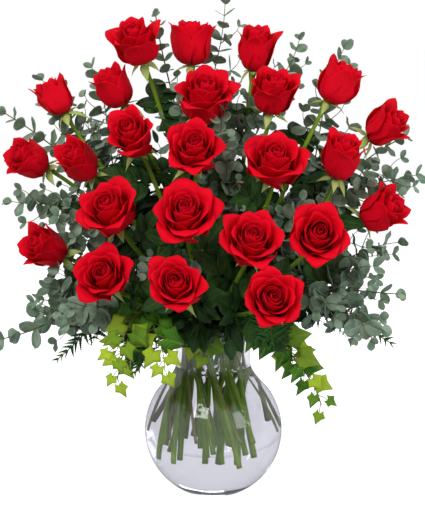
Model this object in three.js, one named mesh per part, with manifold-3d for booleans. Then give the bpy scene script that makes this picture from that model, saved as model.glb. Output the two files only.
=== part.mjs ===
// Two dozen red roses with eucalyptus, ivy, fern and salal, standing in a round clear glass vase of water.
// Millimetres, +Z up, -Y towards the viewer. The origin is the centre of the vase's flat foot.
import * as THREE from "three";
import { mergeVertices } from "three/addons/utils/BufferGeometryUtils.js";
import Module from "manifold-3d";

const wasm = await Module();
wasm.setup();

// ---- Driving dimensions -------------------------------------------------------------------------

const BULB_RADIUS = 90; // outside of the vase's round body
const BULB_CENTRE = 82.5; // height of that sphere's centre
const SHOULDER_ANGLE = 30; // degrees above the sphere's equator where the shoulder leaves it
const NECK_RADIUS = 48;
const NECK_HEIGHT = 176;
const RIM_RADIUS = 60;
const RIM_HEIGHT = 232;
const GLASS = 3.5; // wall thickness
const FLOOR = 12; // top of the thick glass bottom
const WATER_LEVEL = 166;
const GAP = 0.3; // between pieces that touch
const BEND = 22; // how far the wall's curves run straight on either side of a join
const FLARE_IN = 7; // where the wall aims just under the rim, inwards and down from it
const FLARE_DOWN = 16;

const MOUTH = new THREE.Vector3(0, 0, 194); // the point that all the sprays fan out from
const ROSE_STEM = 3.2; // radius of a rose stem
const SPRIG_STEM = 1.9; // radius of a foliage stem
const NECK_ROOM = 33; // rose stems pass the neck inside this radius
const SPRIG_RING = 40; // and foliage stems on this circle around them
const SPREAD = 0.0028; // how fast stems part below the neck, per mm
const TWIST = 0.011; // and how fast they turn around each other

const STEM_SIDES = 5;
const SHOOT_SIDES = 4;
const STEM_STEPS = 12;
const BLOOM_SEGMENTS = 10;
const VASE_SEGMENTS = 24;
const SPRIG_STEPS = 12;
const SHOOT_STEPS = 5;

const RED = 0xc40a1c;
const STEM_GREEN = 0x5c8a1e;
const SILVER_GREEN = 0x7d9a84;
const IVY_GREEN = 0x6aa318;
const FERN_GREEN = 0x1d4f1c;
const SALAL_GREEN = 0x24482a;

// One row for each rose. Fan is the angle from upright, right positive; lean is the angle towards the
// viewer; reach is from the mouth to the heart of the bloom. Tilt and face turn the bloom the same two
// ways. Width is the bloom's, and open runs from 0, a closed bud, to 1, fully open.
const ROSES = [
  { fan: -14, lean: 4, reach: 406, tilt: -20, face: 35, width: 72, open: 0.6 },
  { fan: -4, lean: -4, reach: 394, tilt: 2, face: 5, width: 66, open: 0.45 },
  { fan: 8, lean: -2, reach: 389, tilt: 6, face: 18, width: 68, open: 0.5 },
  { fan: -32, lean: 0, reach: 383, tilt: -28, face: 5, width: 50, open: 0.2 },
  { fan: -21, lean: -2, reach: 359, tilt: -30, face: 15, width: 58, open: 0.35 },
  { fan: -2, lean: 10, reach: 330, tilt: 4, face: 40, width: 84, open: 0.75 },
  { fan: 13, lean: 6, reach: 340, tilt: 8, face: 32, width: 66, open: 0.55 },
  { fan: 25, lean: 2, reach: 378, tilt: 28, face: 8, width: 62, open: 0.4 },
  { fan: 38, lean: 1, reach: 361, tilt: 55, face: 28, width: 62, open: 0.45 },
  { fan: -44, lean: 3, reach: 340, tilt: -58, face: 32, width: 60, open: 0.45 },
  { fan: -35, lean: 9, reach: 301, tilt: -42, face: 35, width: 58, open: 0.3 },
  { fan: -20, lean: 16, reach: 309, tilt: -24, face: 50, width: 72, open: 0.65 },
  { fan: -5, lean: 23, reach: 286, tilt: 0, face: 58, width: 76, open: 0.8 },
  { fan: 17, lean: 22, reach: 279, tilt: 2, face: 46, width: 82, open: 0.85 },
  { fan: 33, lean: 11, reach: 303, tilt: 14, face: 24, width: 60, open: 0.35 },
  { fan: -34, lean: 29, reach: 259, tilt: -24, face: 50, width: 80, open: 0.75 },
  { fan: -10, lean: 39, reach: 246, tilt: -2, face: 54, width: 90, open: 0.95 },
  { fan: 39, lean: 33, reach: 245, tilt: 16, face: 64, width: 82, open: 0.9 },
  { fan: 50, lean: 8, reach: 282, tilt: 58, face: 28, width: 62, open: 0.45 },
  { fan: -58, lean: 11, reach: 256, tilt: -60, face: 35, width: 60, open: 0.4 },
  { fan: -51, lean: 39, reach: 221, tilt: -22, face: 62, width: 78, open: 0.8 },
  { fan: -23, lean: 58, reach: 213, tilt: -4, face: 60, width: 78, open: 0.8 },
  { fan: 17, lean: 45, reach: 228, tilt: 10, face: 56, width: 80, open: 0.75 },
  { fan: 39, lean: 60, reach: 224, tilt: 8, face: 70, width: 76, open: 0.8 },
];

// One row for each cut stem of foliage. Bearing is where it passes the neck, in degrees from +X. Each
// shoot ends at fan, lean and reach, pointing climb degrees above level, and all but the first fork
// from the first at the share fork of its length. Rise is how far the stem climbs before it turns out.
const SPRIGS = {
  eucalyptus_left_low: {
    bearing: 212, rise: 180, leaf: "round", pairs: 4, size: 36, colour: SILVER_GREEN,
    shoots: [
      { fan: -87, lean: 8, reach: 274, climb: -8 },
      { fan: -69, lean: 10, reach: 228, climb: 12, fork: 0.5 },
      { fan: -76, lean: 30, reach: 215, climb: -20, fork: 0.45 },
      { fan: -80, lean: 0, reach: 230, climb: 5, fork: 0.5 },
    ],
  },
  eucalyptus_left: {
    bearing: 180, rise: 110, leaf: "round", pairs: 3, size: 32, colour: SILVER_GREEN,
    shoots: [
      { fan: -42, lean: -3, reach: 407, climb: 30 },
      { fan: -54, lean: 2, reach: 322, climb: 10, fork: 0.4 },
      { fan: -24, lean: -9, reach: 399, climb: 60, fork: 0.4 },
      { fan: -33, lean: -5, reach: 412, climb: 45, fork: 0.45 },
      { fan: -48, lean: 14, reach: 272, climb: 25, fork: 0.3 },
      { fan: -30, lean: -3, reach: 335, climb: 55, fork: 0.35 },
      { fan: -62, lean: 4, reach: 262, climb: 5, fork: 0.35 },
    ],
  },
  eucalyptus_top: {
    bearing: 130, rise: 150, leaf: "round", pairs: 3, size: 30, colour: SILVER_GREEN,
    shoots: [
      { fan: -10, lean: -7, reach: 439, climb: 80 },
      { fan: 2, lean: -7, reach: 447, climb: 85, fork: 0.4 },
      { fan: 16, lean: -9, reach: 418, climb: 75, fork: 0.35 },
      { fan: 15, lean: 0, reach: 378, climb: 70, fork: 0.35 },
      { fan: 2, lean: -2, reach: 350, climb: 85, fork: 0.3 },
      { fan: 2, lean: 12, reach: 318, climb: 85, fork: 0.25 },
      { fan: -8, lean: 3, reach: 335, climb: 80, fork: 0.3 },
    ],
  },
  eucalyptus_right: {
    bearing: 48, rise: 120, leaf: "round", pairs: 3, size: 32, colour: SILVER_GREEN,
    shoots: [
      { fan: 43, lean: -6, reach: 373, climb: 25 },
      { fan: 24, lean: -7, reach: 425, climb: 60, fork: 0.4 },
      { fan: 50, lean: -2, reach: 345, climb: 12, fork: 0.5 },
      { fan: 32, lean: -3, reach: 333, climb: 50, fork: 0.35 },
      { fan: 43, lean: 5, reach: 290, climb: 30, fork: 0.3 },
      { fan: 30, lean: 18, reach: 238, climb: 50, fork: 0.2 },
    ],
  },
  eucalyptus_right_low: {
    bearing: 10, rise: 150, leaf: "round", pairs: 4, size: 34, colour: SILVER_GREEN,
    shoots: [
      { fan: 72, lean: 14, reach: 253, climb: 0 },
      { fan: 61, lean: -2, reach: 276, climb: 5, fork: 0.45 },
      { fan: 60, lean: 22, reach: 250, climb: 5, fork: 0.5 },
      { fan: 66, lean: 32, reach: 200, climb: -5, fork: 0.4 },
      { fan: 80, lean: 25, reach: 235, climb: -15, fork: 0.5 },
    ],
  },
  salal: {
    bearing: 95, rise: 90, leaf: "broad", pairs: 3, size: 62, colour: SALAL_GREEN,
    shoots: [
      { fan: 0, lean: -25, reach: 300, climb: 60 },
      { fan: -45, lean: -35, reach: 240, climb: 20, fork: 0.35 },
      { fan: 42, lean: -35, reach: 240, climb: 20, fork: 0.35 },
      { fan: -22, lean: -12, reach: 300, climb: 50, fork: 0.3 },
      { fan: 22, lean: -12, reach: 300, climb: 50, fork: 0.3 },
      { fan: -60, lean: -8, reach: 190, climb: 10, fork: 0.2 },
      { fan: 60, lean: -8, reach: 190, climb: 10, fork: 0.2 },
      { fan: 0, lean: -55, reach: 170, climb: 0, fork: 0.2 },
      { fan: -38, lean: 72, reach: 118, climb: -25, fork: 0.2 },
      { fan: 36, lean: 74, reach: 120, climb: -30, fork: 0.2 },
    ],
  },
  fern_left: {
    bearing: 235, rise: 175, leaf: "narrow", pairs: 7, size: 44, colour: FERN_GREEN,
    shoots: [
      { fan: -91, lean: 25, reach: 217, climb: -35 },
      { fan: -96, lean: 55, reach: 170, climb: -40, fork: 0.4 },
    ],
  },
  fern_right: {
    bearing: 348, rise: 160, leaf: "narrow", pairs: 7, size: 44, colour: FERN_GREEN,
    shoots: [
      { fan: 86, lean: 20, reach: 240, climb: -30 },
      { fan: 75, lean: 62, reach: 165, climb: -50, fork: 0.35 },
    ],
  },
  ivy_left: {
    bearing: 258, rise: 170, leaf: "broad", pairs: 5, size: 32, colour: IVY_GREEN,
    shoots: [
      { fan: -101, lean: 45, reach: 172, climb: -80 },
      { fan: -98, lean: 66, reach: 150, climb: -75, fork: 0.5 },
      { fan: -84, lean: 50, reach: 190, climb: -50, fork: 0.5 },
      { fan: -70, lean: 82, reach: 84, climb: -85, fork: 0.4 },
    ],
  },
  ivy_right: {
    bearing: 325, rise: 170, leaf: "broad", pairs: 6, size: 30, colour: IVY_GREEN,
    shoots: [
      { fan: 113, lean: 37, reach: 184, climb: -80 },
      { fan: 98, lean: 45, reach: 160, climb: -70, fork: 0.55 },
    ],
  },
};

const rad = THREE.MathUtils.degToRad;
const UP = new THREE.Vector3(0, 0, 1);
const part = new THREE.Group();

// ---- Helpers ------------------------------------------------------------------------------------

function material(color, roughness, more = {}) {
  return new THREE.MeshStandardMaterial({ color, roughness, metalness: 0, ...more });
}

function addPiece(name, geometry, look) {
  const mesh = new THREE.Mesh(geometry, look);
  mesh.name = name;
  part.add(mesh);
  return mesh;
}

function toSolid(geometry) {
  const bare = geometry.clone();
  bare.deleteAttribute("normal");
  bare.deleteAttribute("uv");
  const merged = mergeVertices(bare, 1e-3);
  return new wasm.Manifold(
    new wasm.Mesh({
      numProp: 3,
      vertProperties: new Float32Array(merged.attributes.position.array),
      triVerts: new Uint32Array(merged.index.array),
    }),
  );
}

function toGeometry(solid) {
  const mesh = solid.getMesh();
  const geometry = new THREE.BufferGeometry();
  geometry.setAttribute("position", new THREE.BufferAttribute(mesh.vertProperties, 3));
  geometry.setIndex(new THREE.BufferAttribute(mesh.triVerts, 1));
  geometry.computeVertexNormals();
  return geometry;
}

// A direction turned tilt degrees to the right of upright and face degrees towards the viewer.
function turned(tilt, face) {
  const [t, f] = [rad(tilt), rad(face)];
  return new THREE.Vector3(Math.sin(t) * Math.cos(f), -Math.sin(f), Math.cos(t) * Math.cos(f));
}

function place(fan, lean, reach) {
  return turned(fan, lean).multiplyScalar(reach).add(MOUTH);
}

// A solid of revolution about +Z from a profile of (radius, height) points that starts and ends on the axis.
function revolve(profile, segments) {
  return new THREE.LatheGeometry(profile, segments).rotateX(Math.PI / 2);
}

function tube(curve, radius, sides, steps) {
  const section = new THREE.Shape();
  for (let i = 0; i < sides; i++) {
    const a = (2 * Math.PI * i) / sides;
    if (i) section.lineTo(radius * Math.cos(a), radius * Math.sin(a));
    else section.moveTo(radius, 0);
  }
  return new THREE.ExtrudeGeometry(section, { steps, extrudePath: curve });
}

// ---- Vase and water -----------------------------------------------------------------------------

// Points up the vase's wall, inset from its outside, from the height start.
function wall(inset, start) {
  const radius = BULB_RADIUS - inset;
  const from = Math.asin((start - BULB_CENTRE) / radius);
  const to = rad(SHOULDER_ANGLE);
  const shoulder = new THREE.Vector2(radius * Math.cos(to), BULB_CENTRE + radius * Math.sin(to));
  const path = new THREE.Path();
  path.absarc(0, BULB_CENTRE, radius, from, to, false);
  path.bezierCurveTo(
    shoulder.x - BEND * Math.sin(to), shoulder.y + BEND * Math.cos(to),
    NECK_RADIUS - inset, NECK_HEIGHT - BEND,
    NECK_RADIUS - inset, NECK_HEIGHT,
  );
  path.bezierCurveTo(
    NECK_RADIUS - inset, NECK_HEIGHT + BEND,
    RIM_RADIUS - inset - FLARE_IN, RIM_HEIGHT - FLARE_DOWN,
    RIM_RADIUS - inset, RIM_HEIGHT,
  );
  return path.getPoints(4);
}

function vaseGeometry() {
  const outside = wall(0, 0);
  const inside = wall(GLASS, FLOOR).reverse();
  const lip = new THREE.Vector2(RIM_RADIUS - GLASS / 2, RIM_HEIGHT + GLASS / 3);
  const axis = (height) => new THREE.Vector2(0, height);
  return revolve([axis(0), ...outside, lip, ...inside, axis(FLOOR)], VASE_SEGMENTS);
}

function waterGeometry() {
  const side = wall(GLASS + GAP, FLOOR + GAP).filter((p) => p.y < WATER_LEVEL);
  const [below, above] = [side.at(-1), wall(GLASS + GAP, FLOOR + GAP)[side.length]];
  const share = (WATER_LEVEL - below.y) / (above.y - below.y);
  const edge = below.clone().lerp(above, share);
  const axis = (height) => new THREE.Vector2(0, height);
  return revolve([axis(FLOOR + GAP), ...side, edge, axis(WATER_LEVEL)], VASE_SEGMENTS);
}

const INSIDE = wall(GLASS, FLOOR);
function insideRadius(height) {
  const next = INSIDE.findIndex((p) => p.y > height);
  if (next < 1) return next < 0 ? RIM_RADIUS - GLASS : INSIDE[0].x;
  const [a, b] = [INSIDE[next - 1], INSIDE[next]];
  return a.x + ((b.x - a.x) * (height - a.y)) / (b.y - a.y);
}

// The move that brings a point at least clear off the wall below the rim, or off the lip above it.
function offGlass({ x, y, z }, clear) {
  const out = Math.hypot(x, y);
  let [move, lift] = [Math.min(0, insideRadius(z) - clear - out), 0];
  if (z > RIM_HEIGHT) {
    const [dr, dz] = [out - RIM_RADIUS + GLASS / 2, z - RIM_HEIGHT];
    const apart = Math.hypot(dr, dz);
    const short = Math.max(0, clear + GLASS / 2 - apart);
    [move, lift] = [(short * dr) / apart, (short * dz) / apart];
  }
  return new THREE.Vector3((move * x) / out, (move * y) / out, lift);
}

// ---- Stems in the vase --------------------------------------------------------------------------

// Below the neck every stem runs straight, and the bunch parts and turns as one, so that none cross.
function belowNeck(atNeck, depth) {
  const [grow, turn] = [1 + SPREAD * depth, TWIST * depth];
  return new THREE.Vector3(
    atNeck.x * grow - atNeck.y * turn,
    atNeck.y * grow + atNeck.x * turn,
    NECK_HEIGHT - depth,
  );
}

// A cubic from the neck, leaving in line with the stem below it, to a tip that points along heading.
function aboveNeck(atNeck, rise, tip, heading, run) {
  const start = belowNeck(atNeck, 0);
  const along = start.clone().sub(belowNeck(atNeck, 1)).normalize();
  const first = start.clone().addScaledVector(along, rise);
  const second = tip.clone().addScaledVector(heading, -run);
  return new THREE.CubicBezierCurve3(start, first, second, tip);
}

// ---- Foliage routes -----------------------------------------------------------------------------

function headingOf(tip, climb) {
  const out = new THREE.Vector3(tip.x, tip.y, 0).normalize();
  return out.multiplyScalar(Math.cos(rad(climb))).addScaledVector(UP, Math.sin(rad(climb)));
}

const SPRIG_RUN = 0.35; // the share of a sprig's way that keeps its last course
function shootCurves({ bearing, rise, shoots }, cut) {
  const atNeck = new THREE.Vector3(
    SPRIG_RING * Math.cos(rad(bearing)), SPRIG_RING * Math.sin(rad(bearing)), NECK_HEIGHT);
  const curves = shoots.map(({ fan, lean, reach, climb, fork }, i) => {
    const tip = place(fan, lean, reach);
    const heading = headingOf(tip, climb);
    if (!i) return aboveNeck(atNeck, rise, tip, heading, SPRIG_RUN * tip.distanceTo(atNeck));
    return { tip, heading, fork };
  });
  const [main] = curves;
  return [
    new THREE.CatmullRomCurve3([
      belowNeck(atNeck, cut), belowNeck(atNeck, cut / 2), ...main.getPoints(6)]),
    ...curves.slice(1).map(({ tip, heading, fork }) => {
      const start = main.getPoint(fork);
      const span = start.distanceTo(tip);
      return new THREE.CubicBezierCurve3(
        start,
        start.clone().addScaledVector(main.getTangent(fork), span / 3),
        tip.clone().addScaledVector(heading, -span / 3),
        tip,
      );
    }),
  ];
}

const SPRIG_CUT = 98; // how far below the neck the foliage stems are cut
const sprigCurves = Object.fromEntries(
  Object.entries(SPRIGS).map(([name, sprig]) => [name, shootCurves(sprig, SPRIG_CUT)]));

// ---- Roses --------------------------------------------------------------------------------------

const BUD = [[0, 0], [0.18, 0], [0.72, 0.16], [0.92, 0.42], [0.84, 0.74], [1, 0.93], [0.55, 1], [0, 0.97]];
const FULL = [[0, 0], [0.12, 0], [0.5, 0.14], [0.68, 0.42], [0.88, 0.72], [1, 0.84], [0.58, 1], [0, 0.93]];
const PETAL_WAVE = 0.07; // how far the rim swings in and out around its five outer petals

function bloomOf({ width, open }) {
  const height = width * (1.1 - 0.52 * open);
  return { height, radius: width / 2 };
}

function bloomGeometry(rose) {
  const { height, radius } = bloomOf(rose);
  const profile = BUD.map(([r, z], i) => new THREE.Vector2(
    radius * (r + (FULL[i][0] - r) * rose.open),
    height * (z + (FULL[i][1] - z) * rose.open),
  ));
  const geometry = revolve(profile, BLOOM_SEGMENTS);
  const at = geometry.attributes.position;
  for (let i = 0; i < at.count; i++) {
    const around = Math.atan2(at.getY(i), at.getX(i));
    const swing = 1 + PETAL_WAVE * Math.sin(5 * around) * (at.getZ(i) / height) ** 2;
    at.setXY(i, at.getX(i) * swing, at.getY(i) * swing);
  }
  return geometry;
}

// Where the blooms and their stems meet, before the stems settle. A bloom further out has its stem
// further out in the neck, as a share of its own place, with the front of the bouquet moved back.
const NECK_SHARE = { across: 0.12, deep: 0.24, back: 75 };
const roses = ROSES.map((rose, i) => {
  const { height, radius } = bloomOf(rose);
  const axis = turned(rose.tilt, rose.face);
  const heart = place(rose.fan, rose.lean, rose.reach);
  const base = heart.clone().addScaledVector(axis, -height / 2);
  const deep = (heart.y + NECK_SHARE.back) * NECK_SHARE.deep;
  const atNeck = new THREE.Vector3(heart.x * NECK_SHARE.across, deep, NECK_HEIGHT);
  const name = "rose_" + String(i + 1).padStart(2, "0");
  return { ...rose, name, axis, heart, base, height, radius, atNeck };
});

// Pushes the neck places apart until each stem has room.
const NECK_SPACING = 2 * ROSE_STEM + 1.6;
const NECK_ROUNDS = 400;
for (let round = 0; round < NECK_ROUNDS; round++) {
  for (const [i, a] of roses.entries()) {
    for (const b of roses.slice(i + 1)) {
      const apart = b.atNeck.clone().sub(a.atNeck);
      const short = NECK_SPACING - apart.length();
      if (short <= 0) continue;
      apart.normalize().multiplyScalar(short / 2);
      a.atNeck.sub(apart);
      b.atNeck.add(apart);
    }
    const inward = Math.min(1, NECK_ROOM / Math.hypot(a.atNeck.x, a.atNeck.y));
    a.atNeck.x *= inward;
    a.atNeck.y *= inward;
  }
}

// Each stem starts as a line of nodes from its cut end to its bloom, the last two in line with the bloom.
const NODES = 22;
const STRAIGHT_TOP = 26; // the length of stem behind a bloom that keeps its direction
const CUT = { least: 104, step: 17, range: 30 }; // how far below the neck the stems are cut, unevenly
const [FIRST_RUN, LAST_RUN] = [0.35, 0.3]; // shares of the way that keep a stem's first and last course
for (const [i, rose] of roses.entries()) {
  const cut = CUT.least + ((i * CUT.step) % CUT.range);
  const low = belowNeck(rose.atNeck, cut);
  const top = rose.base.clone().addScaledVector(rose.axis, -STRAIGHT_TOP);
  const way = top.distanceTo(rose.atNeck);
  const curve = aboveNeck(rose.atNeck, FIRST_RUN * way, top, rose.axis, LAST_RUN * way);
  const whole = new THREE.CurvePath();
  whole.add(new THREE.LineCurve3(low, belowNeck(rose.atNeck, 0)));
  whole.add(curve);
  rose.nodes = [...whole.getSpacedPoints(NODES - 2), rose.base.clone()];
}

function closestShares(p1, q1, p2, q2) {
  const [d1, d2, r] = [q1.clone().sub(p1), q2.clone().sub(p2), p1.clone().sub(p2)];
  const [a, e, f, c, b] = [d1.dot(d1), d2.dot(d2), d2.dot(r), d1.dot(r), d1.dot(d2)];
  const clamp = (x) => Math.min(1, Math.max(0, x));
  const denominator = a * e - b * b;
  let s = denominator > 1e-9 ? clamp((b * f - c * e) / denominator) : 0;
  const t = clamp((b * s + f) / e);
  s = clamp((b * t - c) / a);
  return [s, t];
}

// Moves nodes so that the two stretches are need apart. A fixed stretch takes no share of the move.
function pushApart(nodesA, i, nodesB, j, need, bMoves) {
  const [p1, q1, p2, q2] = [nodesA[i], nodesA[i + 1], nodesB[j], nodesB[j + 1]];
  const reach = p1.distanceTo(q1) + p2.distanceTo(q2) + need;
  if (["x", "y", "z"].some((k) => Math.abs(p1[k] - p2[k]) > reach)) return;
  const [s, t] = closestShares(p1, q1, p2, q2);
  const between = p1.clone().lerp(q1, s).sub(p2.clone().lerp(q2, t));
  const short = need - between.length();
  if (short <= 0) return;
  between.normalize().multiplyScalar(short * (bMoves ? 0.5 : 1));
  p1.addScaledVector(between, 1 - s);
  q1.addScaledVector(between, s);
  if (!bMoves) return;
  p2.addScaledVector(between, t - 1);
  q2.addScaledVector(between, -t);
}

// The stems settle: springy, kept apart by their own thickness, clear of other blooms and inside the glass.
const ROUNDS = 160;
const SPRING = 0.12; // the share of the way to its neighbours' middle that a node moves each round
const SLACK = 1.5;
const WALL_ROOM = 3.2;
const BLOOM_CORE = 0.35; // the share of a bloom's height that stems keep clear of
const sprigLines = Object.values(sprigCurves).flat().map((curve) => curve.getPoints(14));
for (let round = 0; round < ROUNDS; round++) {
  for (const { nodes } of roses) {
    for (let k = 1; k < NODES - 2; k++) {
      const middle = nodes[k - 1].clone().add(nodes[k + 1]).multiplyScalar(0.5);
      nodes[k].lerp(middle, SPRING);
    }
  }
  for (const [i, a] of roses.entries()) {
    for (let k = 0; k < NODES - 1; k++) {
      for (const b of roses.slice(i + 1)) {
        for (let m = 0; m < NODES - 1; m++) {
          pushApart(a.nodes, k, b.nodes, m, 2 * ROSE_STEM + SLACK, true);
        }
      }
      for (const line of sprigLines) {
        for (let m = 0; m < line.length - 1; m++) {
          pushApart(a.nodes, k, line, m, ROSE_STEM + SPRIG_STEM + SLACK, false);
        }
      }
    }
    for (const other of roses) {
      if (other === a) continue;
      const clear = Math.hypot(other.radius, BLOOM_CORE * other.height) + ROSE_STEM + 1;
      for (let k = 1; k < NODES - 2; k++) {
        const away = a.nodes[k].clone().sub(other.heart);
        const short = Math.max(0, clear - away.length());
        a.nodes[k].addScaledVector(away.normalize(), short);
      }
    }
    for (let k = 0; k < NODES - 2; k++) {
      for (const share of [0, 0.25, 0.5, 0.75]) {
        const push = offGlass(a.nodes[k].clone().lerp(a.nodes[k + 1], share), ROSE_STEM + WALL_ROOM);
        a.nodes[k].addScaledVector(push, 1 - share);
        a.nodes[k + 1].addScaledVector(push, share);
      }
    }
    const top = a.base.clone().addScaledVector(a.axis, -STRAIGHT_TOP);
    a.nodes[NODES - 2].copy(top);
    a.nodes[NODES - 1].copy(a.base).addScaledVector(a.axis, -1);
  }
}

// ---- Blooms, stems and shoots -------------------------------------------------------------------

const HIP = [[0, -10], [3.3, -10], [5.6, -5], [6.6, -GAP], [0, -GAP]];

function standing(geometry, axis, at) {
  return geometry
    .applyQuaternion(new THREE.Quaternion().setFromUnitVectors(UP, axis))
    .translate(at.x, at.y, at.z);
}

const hip = HIP.map(([r, z]) => new THREE.Vector2(r, z));
const stems = roses.map((rose) => {
  const curve = new THREE.CatmullRomCurve3(rose.nodes);
  const bark = toSolid(tube(curve, ROSE_STEM, STEM_SIDES, STEM_STEPS));
  const solid = bark.add(toSolid(standing(revolve(hip, STEM_SIDES), rose.axis, rose.base)));
  return { name: rose.name + "_stem", curve, solid, radius: ROSE_STEM, steps: STEM_STEPS };
});

function meets(a, b) {
  const [boxA, boxB] = [a.boundingBox(), b.boundingBox()];
  if ([0, 1, 2].some((k) => boxA.min[k] > boxB.max[k] || boxB.min[k] > boxA.max[k])) return false;
  return a.intersect(b).volume() > 1e-4;
}

const blooms = roses.map((rose) => ({
  name: rose.name + "_bloom",
  geometry: standing(bloomGeometry(rose), rose.axis, rose.base),
}));
const fixed = [toSolid(vaseGeometry()), ...blooms.map(({ geometry }) => toSolid(geometry))];

// A side shoot that would meet a bloom, the vase or another stem is left off.
const SHOOT_SHARE = 0.75; // of the stem's radius
const sprigs = [];
for (const [name, sprig] of Object.entries(SPRIGS)) {
  const [main, ...sides] = sprigCurves[name];
  const others = [...fixed, ...stems.map(({ solid }) => solid), ...sprigs.map(({ solid }) => solid)];
  let solid = toSolid(tube(main, SPRIG_STEM, STEM_SIDES, SPRIG_STEPS));
  const curves = [main];
  for (const curve of sides) {
    const shoot = toSolid(tube(curve, SPRIG_STEM * SHOOT_SHARE, SHOOT_SIDES, SHOOT_STEPS));
    if (others.some((other) => meets(shoot, other))) continue;
    curves.push(curve);
    solid = solid.add(shoot);
  }
  sprigs.push({ ...sprig, name, curve: main, curves, solid, radius: SPRIG_STEM, steps: SPRIG_STEPS });
}

// ---- Leaves -------------------------------------------------------------------------------------

// Leaves are thin lenses with this many corners, a width to their length, and an angle to the shoot.
const LEAVES = {
  round: { corners: 5, width: 0.9, angle: 62 },
  broad: { corners: 5, width: 0.62, angle: 50 },
  narrow: { corners: 4, width: 0.3, angle: 60 },
};
const LEAF_THICK = 1.6;
const STEEP = 0.9; // a shoot that climbs more than this takes its sides from +Y and not from +Z

function leafGeometry(kind, length) {
  const { corners, width } = LEAVES[kind];
  return new THREE.SphereGeometry(0.5, corners, 2)
    .rotateX(Math.PI / 2)
    .scale(length, length * width, LEAF_THICK)
    .translate(length / 2 - 1, 0, 0);
}

// A leaf that stands off the curve at share t, turned around it by spin.
function leafOn(curve, t, spin, kind, length) {
  const at = curve.getPointAt(t);
  const forward = curve.getTangentAt(t);
  const level = Math.abs(forward.z) < STEEP ? UP : new THREE.Vector3(0, 1, 0);
  const side = new THREE.Vector3().crossVectors(forward, level);
  side.normalize().applyAxisAngle(forward, spin);
  const angle = rad(LEAVES[kind].angle);
  const out = side.clone().multiplyScalar(Math.sin(angle)).addScaledVector(forward, Math.cos(angle));
  const across = new THREE.Vector3().crossVectors(forward, side).normalize();
  const face = new THREE.Vector3().crossVectors(out, across);
  return leafGeometry(kind, length)
    .applyMatrix4(new THREE.Matrix4().makeBasis(out, across, face).setPosition(at));
}

// Grows the leaf on its piece, unless it would meet another piece.
const growing = [...stems, ...sprigs];
function grow(piece, leaf) {
  const blade = toSolid(leaf);
  const inTheWay = (other) => other !== piece && meets(blade, other.solid);
  if (fixed.some((solid) => meets(blade, solid)) || growing.some(inTheWay)) return;
  piece.solid = piece.solid.add(blade);
}

// Leaves stand in pairs up the last part of each shoot, with one pair fewer on the side shoots.
const FIRST_SPIN = 0.35; // radians
const LEAVES_FROM = { main: 0.62, side: 0.4 }; // the share of a shoot's length where its leaves start
const SHRINK = 0.5; // how much smaller the last pair is than the first
const SHORT_OF_TIP = 0.2; // of a step, so that the last pair stands inside the shoot's end
for (const sprig of sprigs) {
  for (const curve of sprig.curves) {
    const isMain = curve === sprig.curve;
    const [first, steps] = isMain ? [LEAVES_FROM.main, SPRIG_STEPS] : [LEAVES_FROM.side, SHOOT_STEPS];
    const last = isMain ? sprig.pairs - 1 : sprig.pairs - 2;
    for (let pair = 0; pair <= last; pair++) {
      const share = pair / last;
      const step = Math.round((first + (1 - first) * share) * steps);
      const t = Math.min(step, steps - SHORT_OF_TIP) / steps;
      const quarter = sprig.leaf === "narrow" ? 0 : (pair % 2) * (Math.PI / 2);
      for (const half of [0, Math.PI]) {
        const length = sprig.size * (1 - SHRINK * share ** 2);
        grow(sprig, leafOn(curve, t, quarter + half + FIRST_SPIN, sprig.leaf, length));
      }
    }
  }
}

// Each rose stem has a few large leaves, turning around it from one to the next.
const ROSE_LEAF = { length: 60, turn: 2.4, places: [7, 9] };
for (const [i, stem] of stems.entries()) {
  for (const [k, place] of ROSE_LEAF.places.entries()) {
    const spin = ROSE_LEAF.turn * (k + i);
    grow(stem, leafOn(stem.curve, place / STEM_STEPS, spin, "broad", ROSE_LEAF.length));
  }
}

// ---- Pieces -------------------------------------------------------------------------------------

const LIGHTER = 0.12; // how far a joined piece's surface may move to save triangles
const petals = material(RED, 0.55);
const rind = material(STEM_GREEN, 0.5);
for (const { name, geometry } of blooms) addPiece(name, geometry, petals);
for (const { name, solid } of stems) addPiece(name, toGeometry(solid.simplify(LIGHTER)), rind);
for (const { name, solid, colour } of sprigs) {
  addPiece(name, toGeometry(solid.simplify(LIGHTER)), material(colour, 0.6));
}

// ---- Vase and water pieces ----------------------------------------------------------------------

addPiece("vase", vaseGeometry(), material(0xeef3f5, 0.05, { transparent: true, opacity: 0.3 }));

// The water is what the stems leave of it, without any drop that they shut off.
const dry = growing.reduce((rest, { curve, radius, steps }) => (
  rest.subtract(toSolid(tube(curve, radius + GAP, STEM_SIDES, steps)))
), toSolid(waterGeometry()));
const water = dry.decompose().reduce((most, drop) => (drop.volume() > most.volume() ? drop : most));
const wet = material(0xdfe9ee, 0.05, { transparent: true, opacity: 0.3 });
addPiece("water", toGeometry(water.simplify(LIGHTER)), wet);

export default part;
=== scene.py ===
"""Red roses with eucalyptus, ivy, fern and salal in a round glass vase of water.

Tables and sizes are in millimetres and degrees, with the CAD frame's axes: +Z up, -Y towards the
side that the roses face. Meshes are in metres.
"""

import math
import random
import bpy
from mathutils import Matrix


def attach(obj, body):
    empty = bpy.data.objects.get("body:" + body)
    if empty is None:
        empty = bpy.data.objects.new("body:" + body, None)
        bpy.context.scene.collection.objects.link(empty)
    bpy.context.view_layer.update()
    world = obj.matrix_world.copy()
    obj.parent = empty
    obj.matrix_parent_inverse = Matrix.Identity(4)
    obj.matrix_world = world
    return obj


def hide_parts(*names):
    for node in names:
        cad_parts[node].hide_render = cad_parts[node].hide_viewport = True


bl_info = {
    "name": "Rose arrangement",
    "version": (1, 0, 0),
    "blender": (4, 5, 0),
    "location": "View3D > Sidebar > Roses",
    "description": "Builds a fan of red roses and mixed foliage in a glass vase on the CAD frame",
    "category": "Object",
}

import bpy
import numpy as np
from mathutils import Quaternion, Vector

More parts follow.
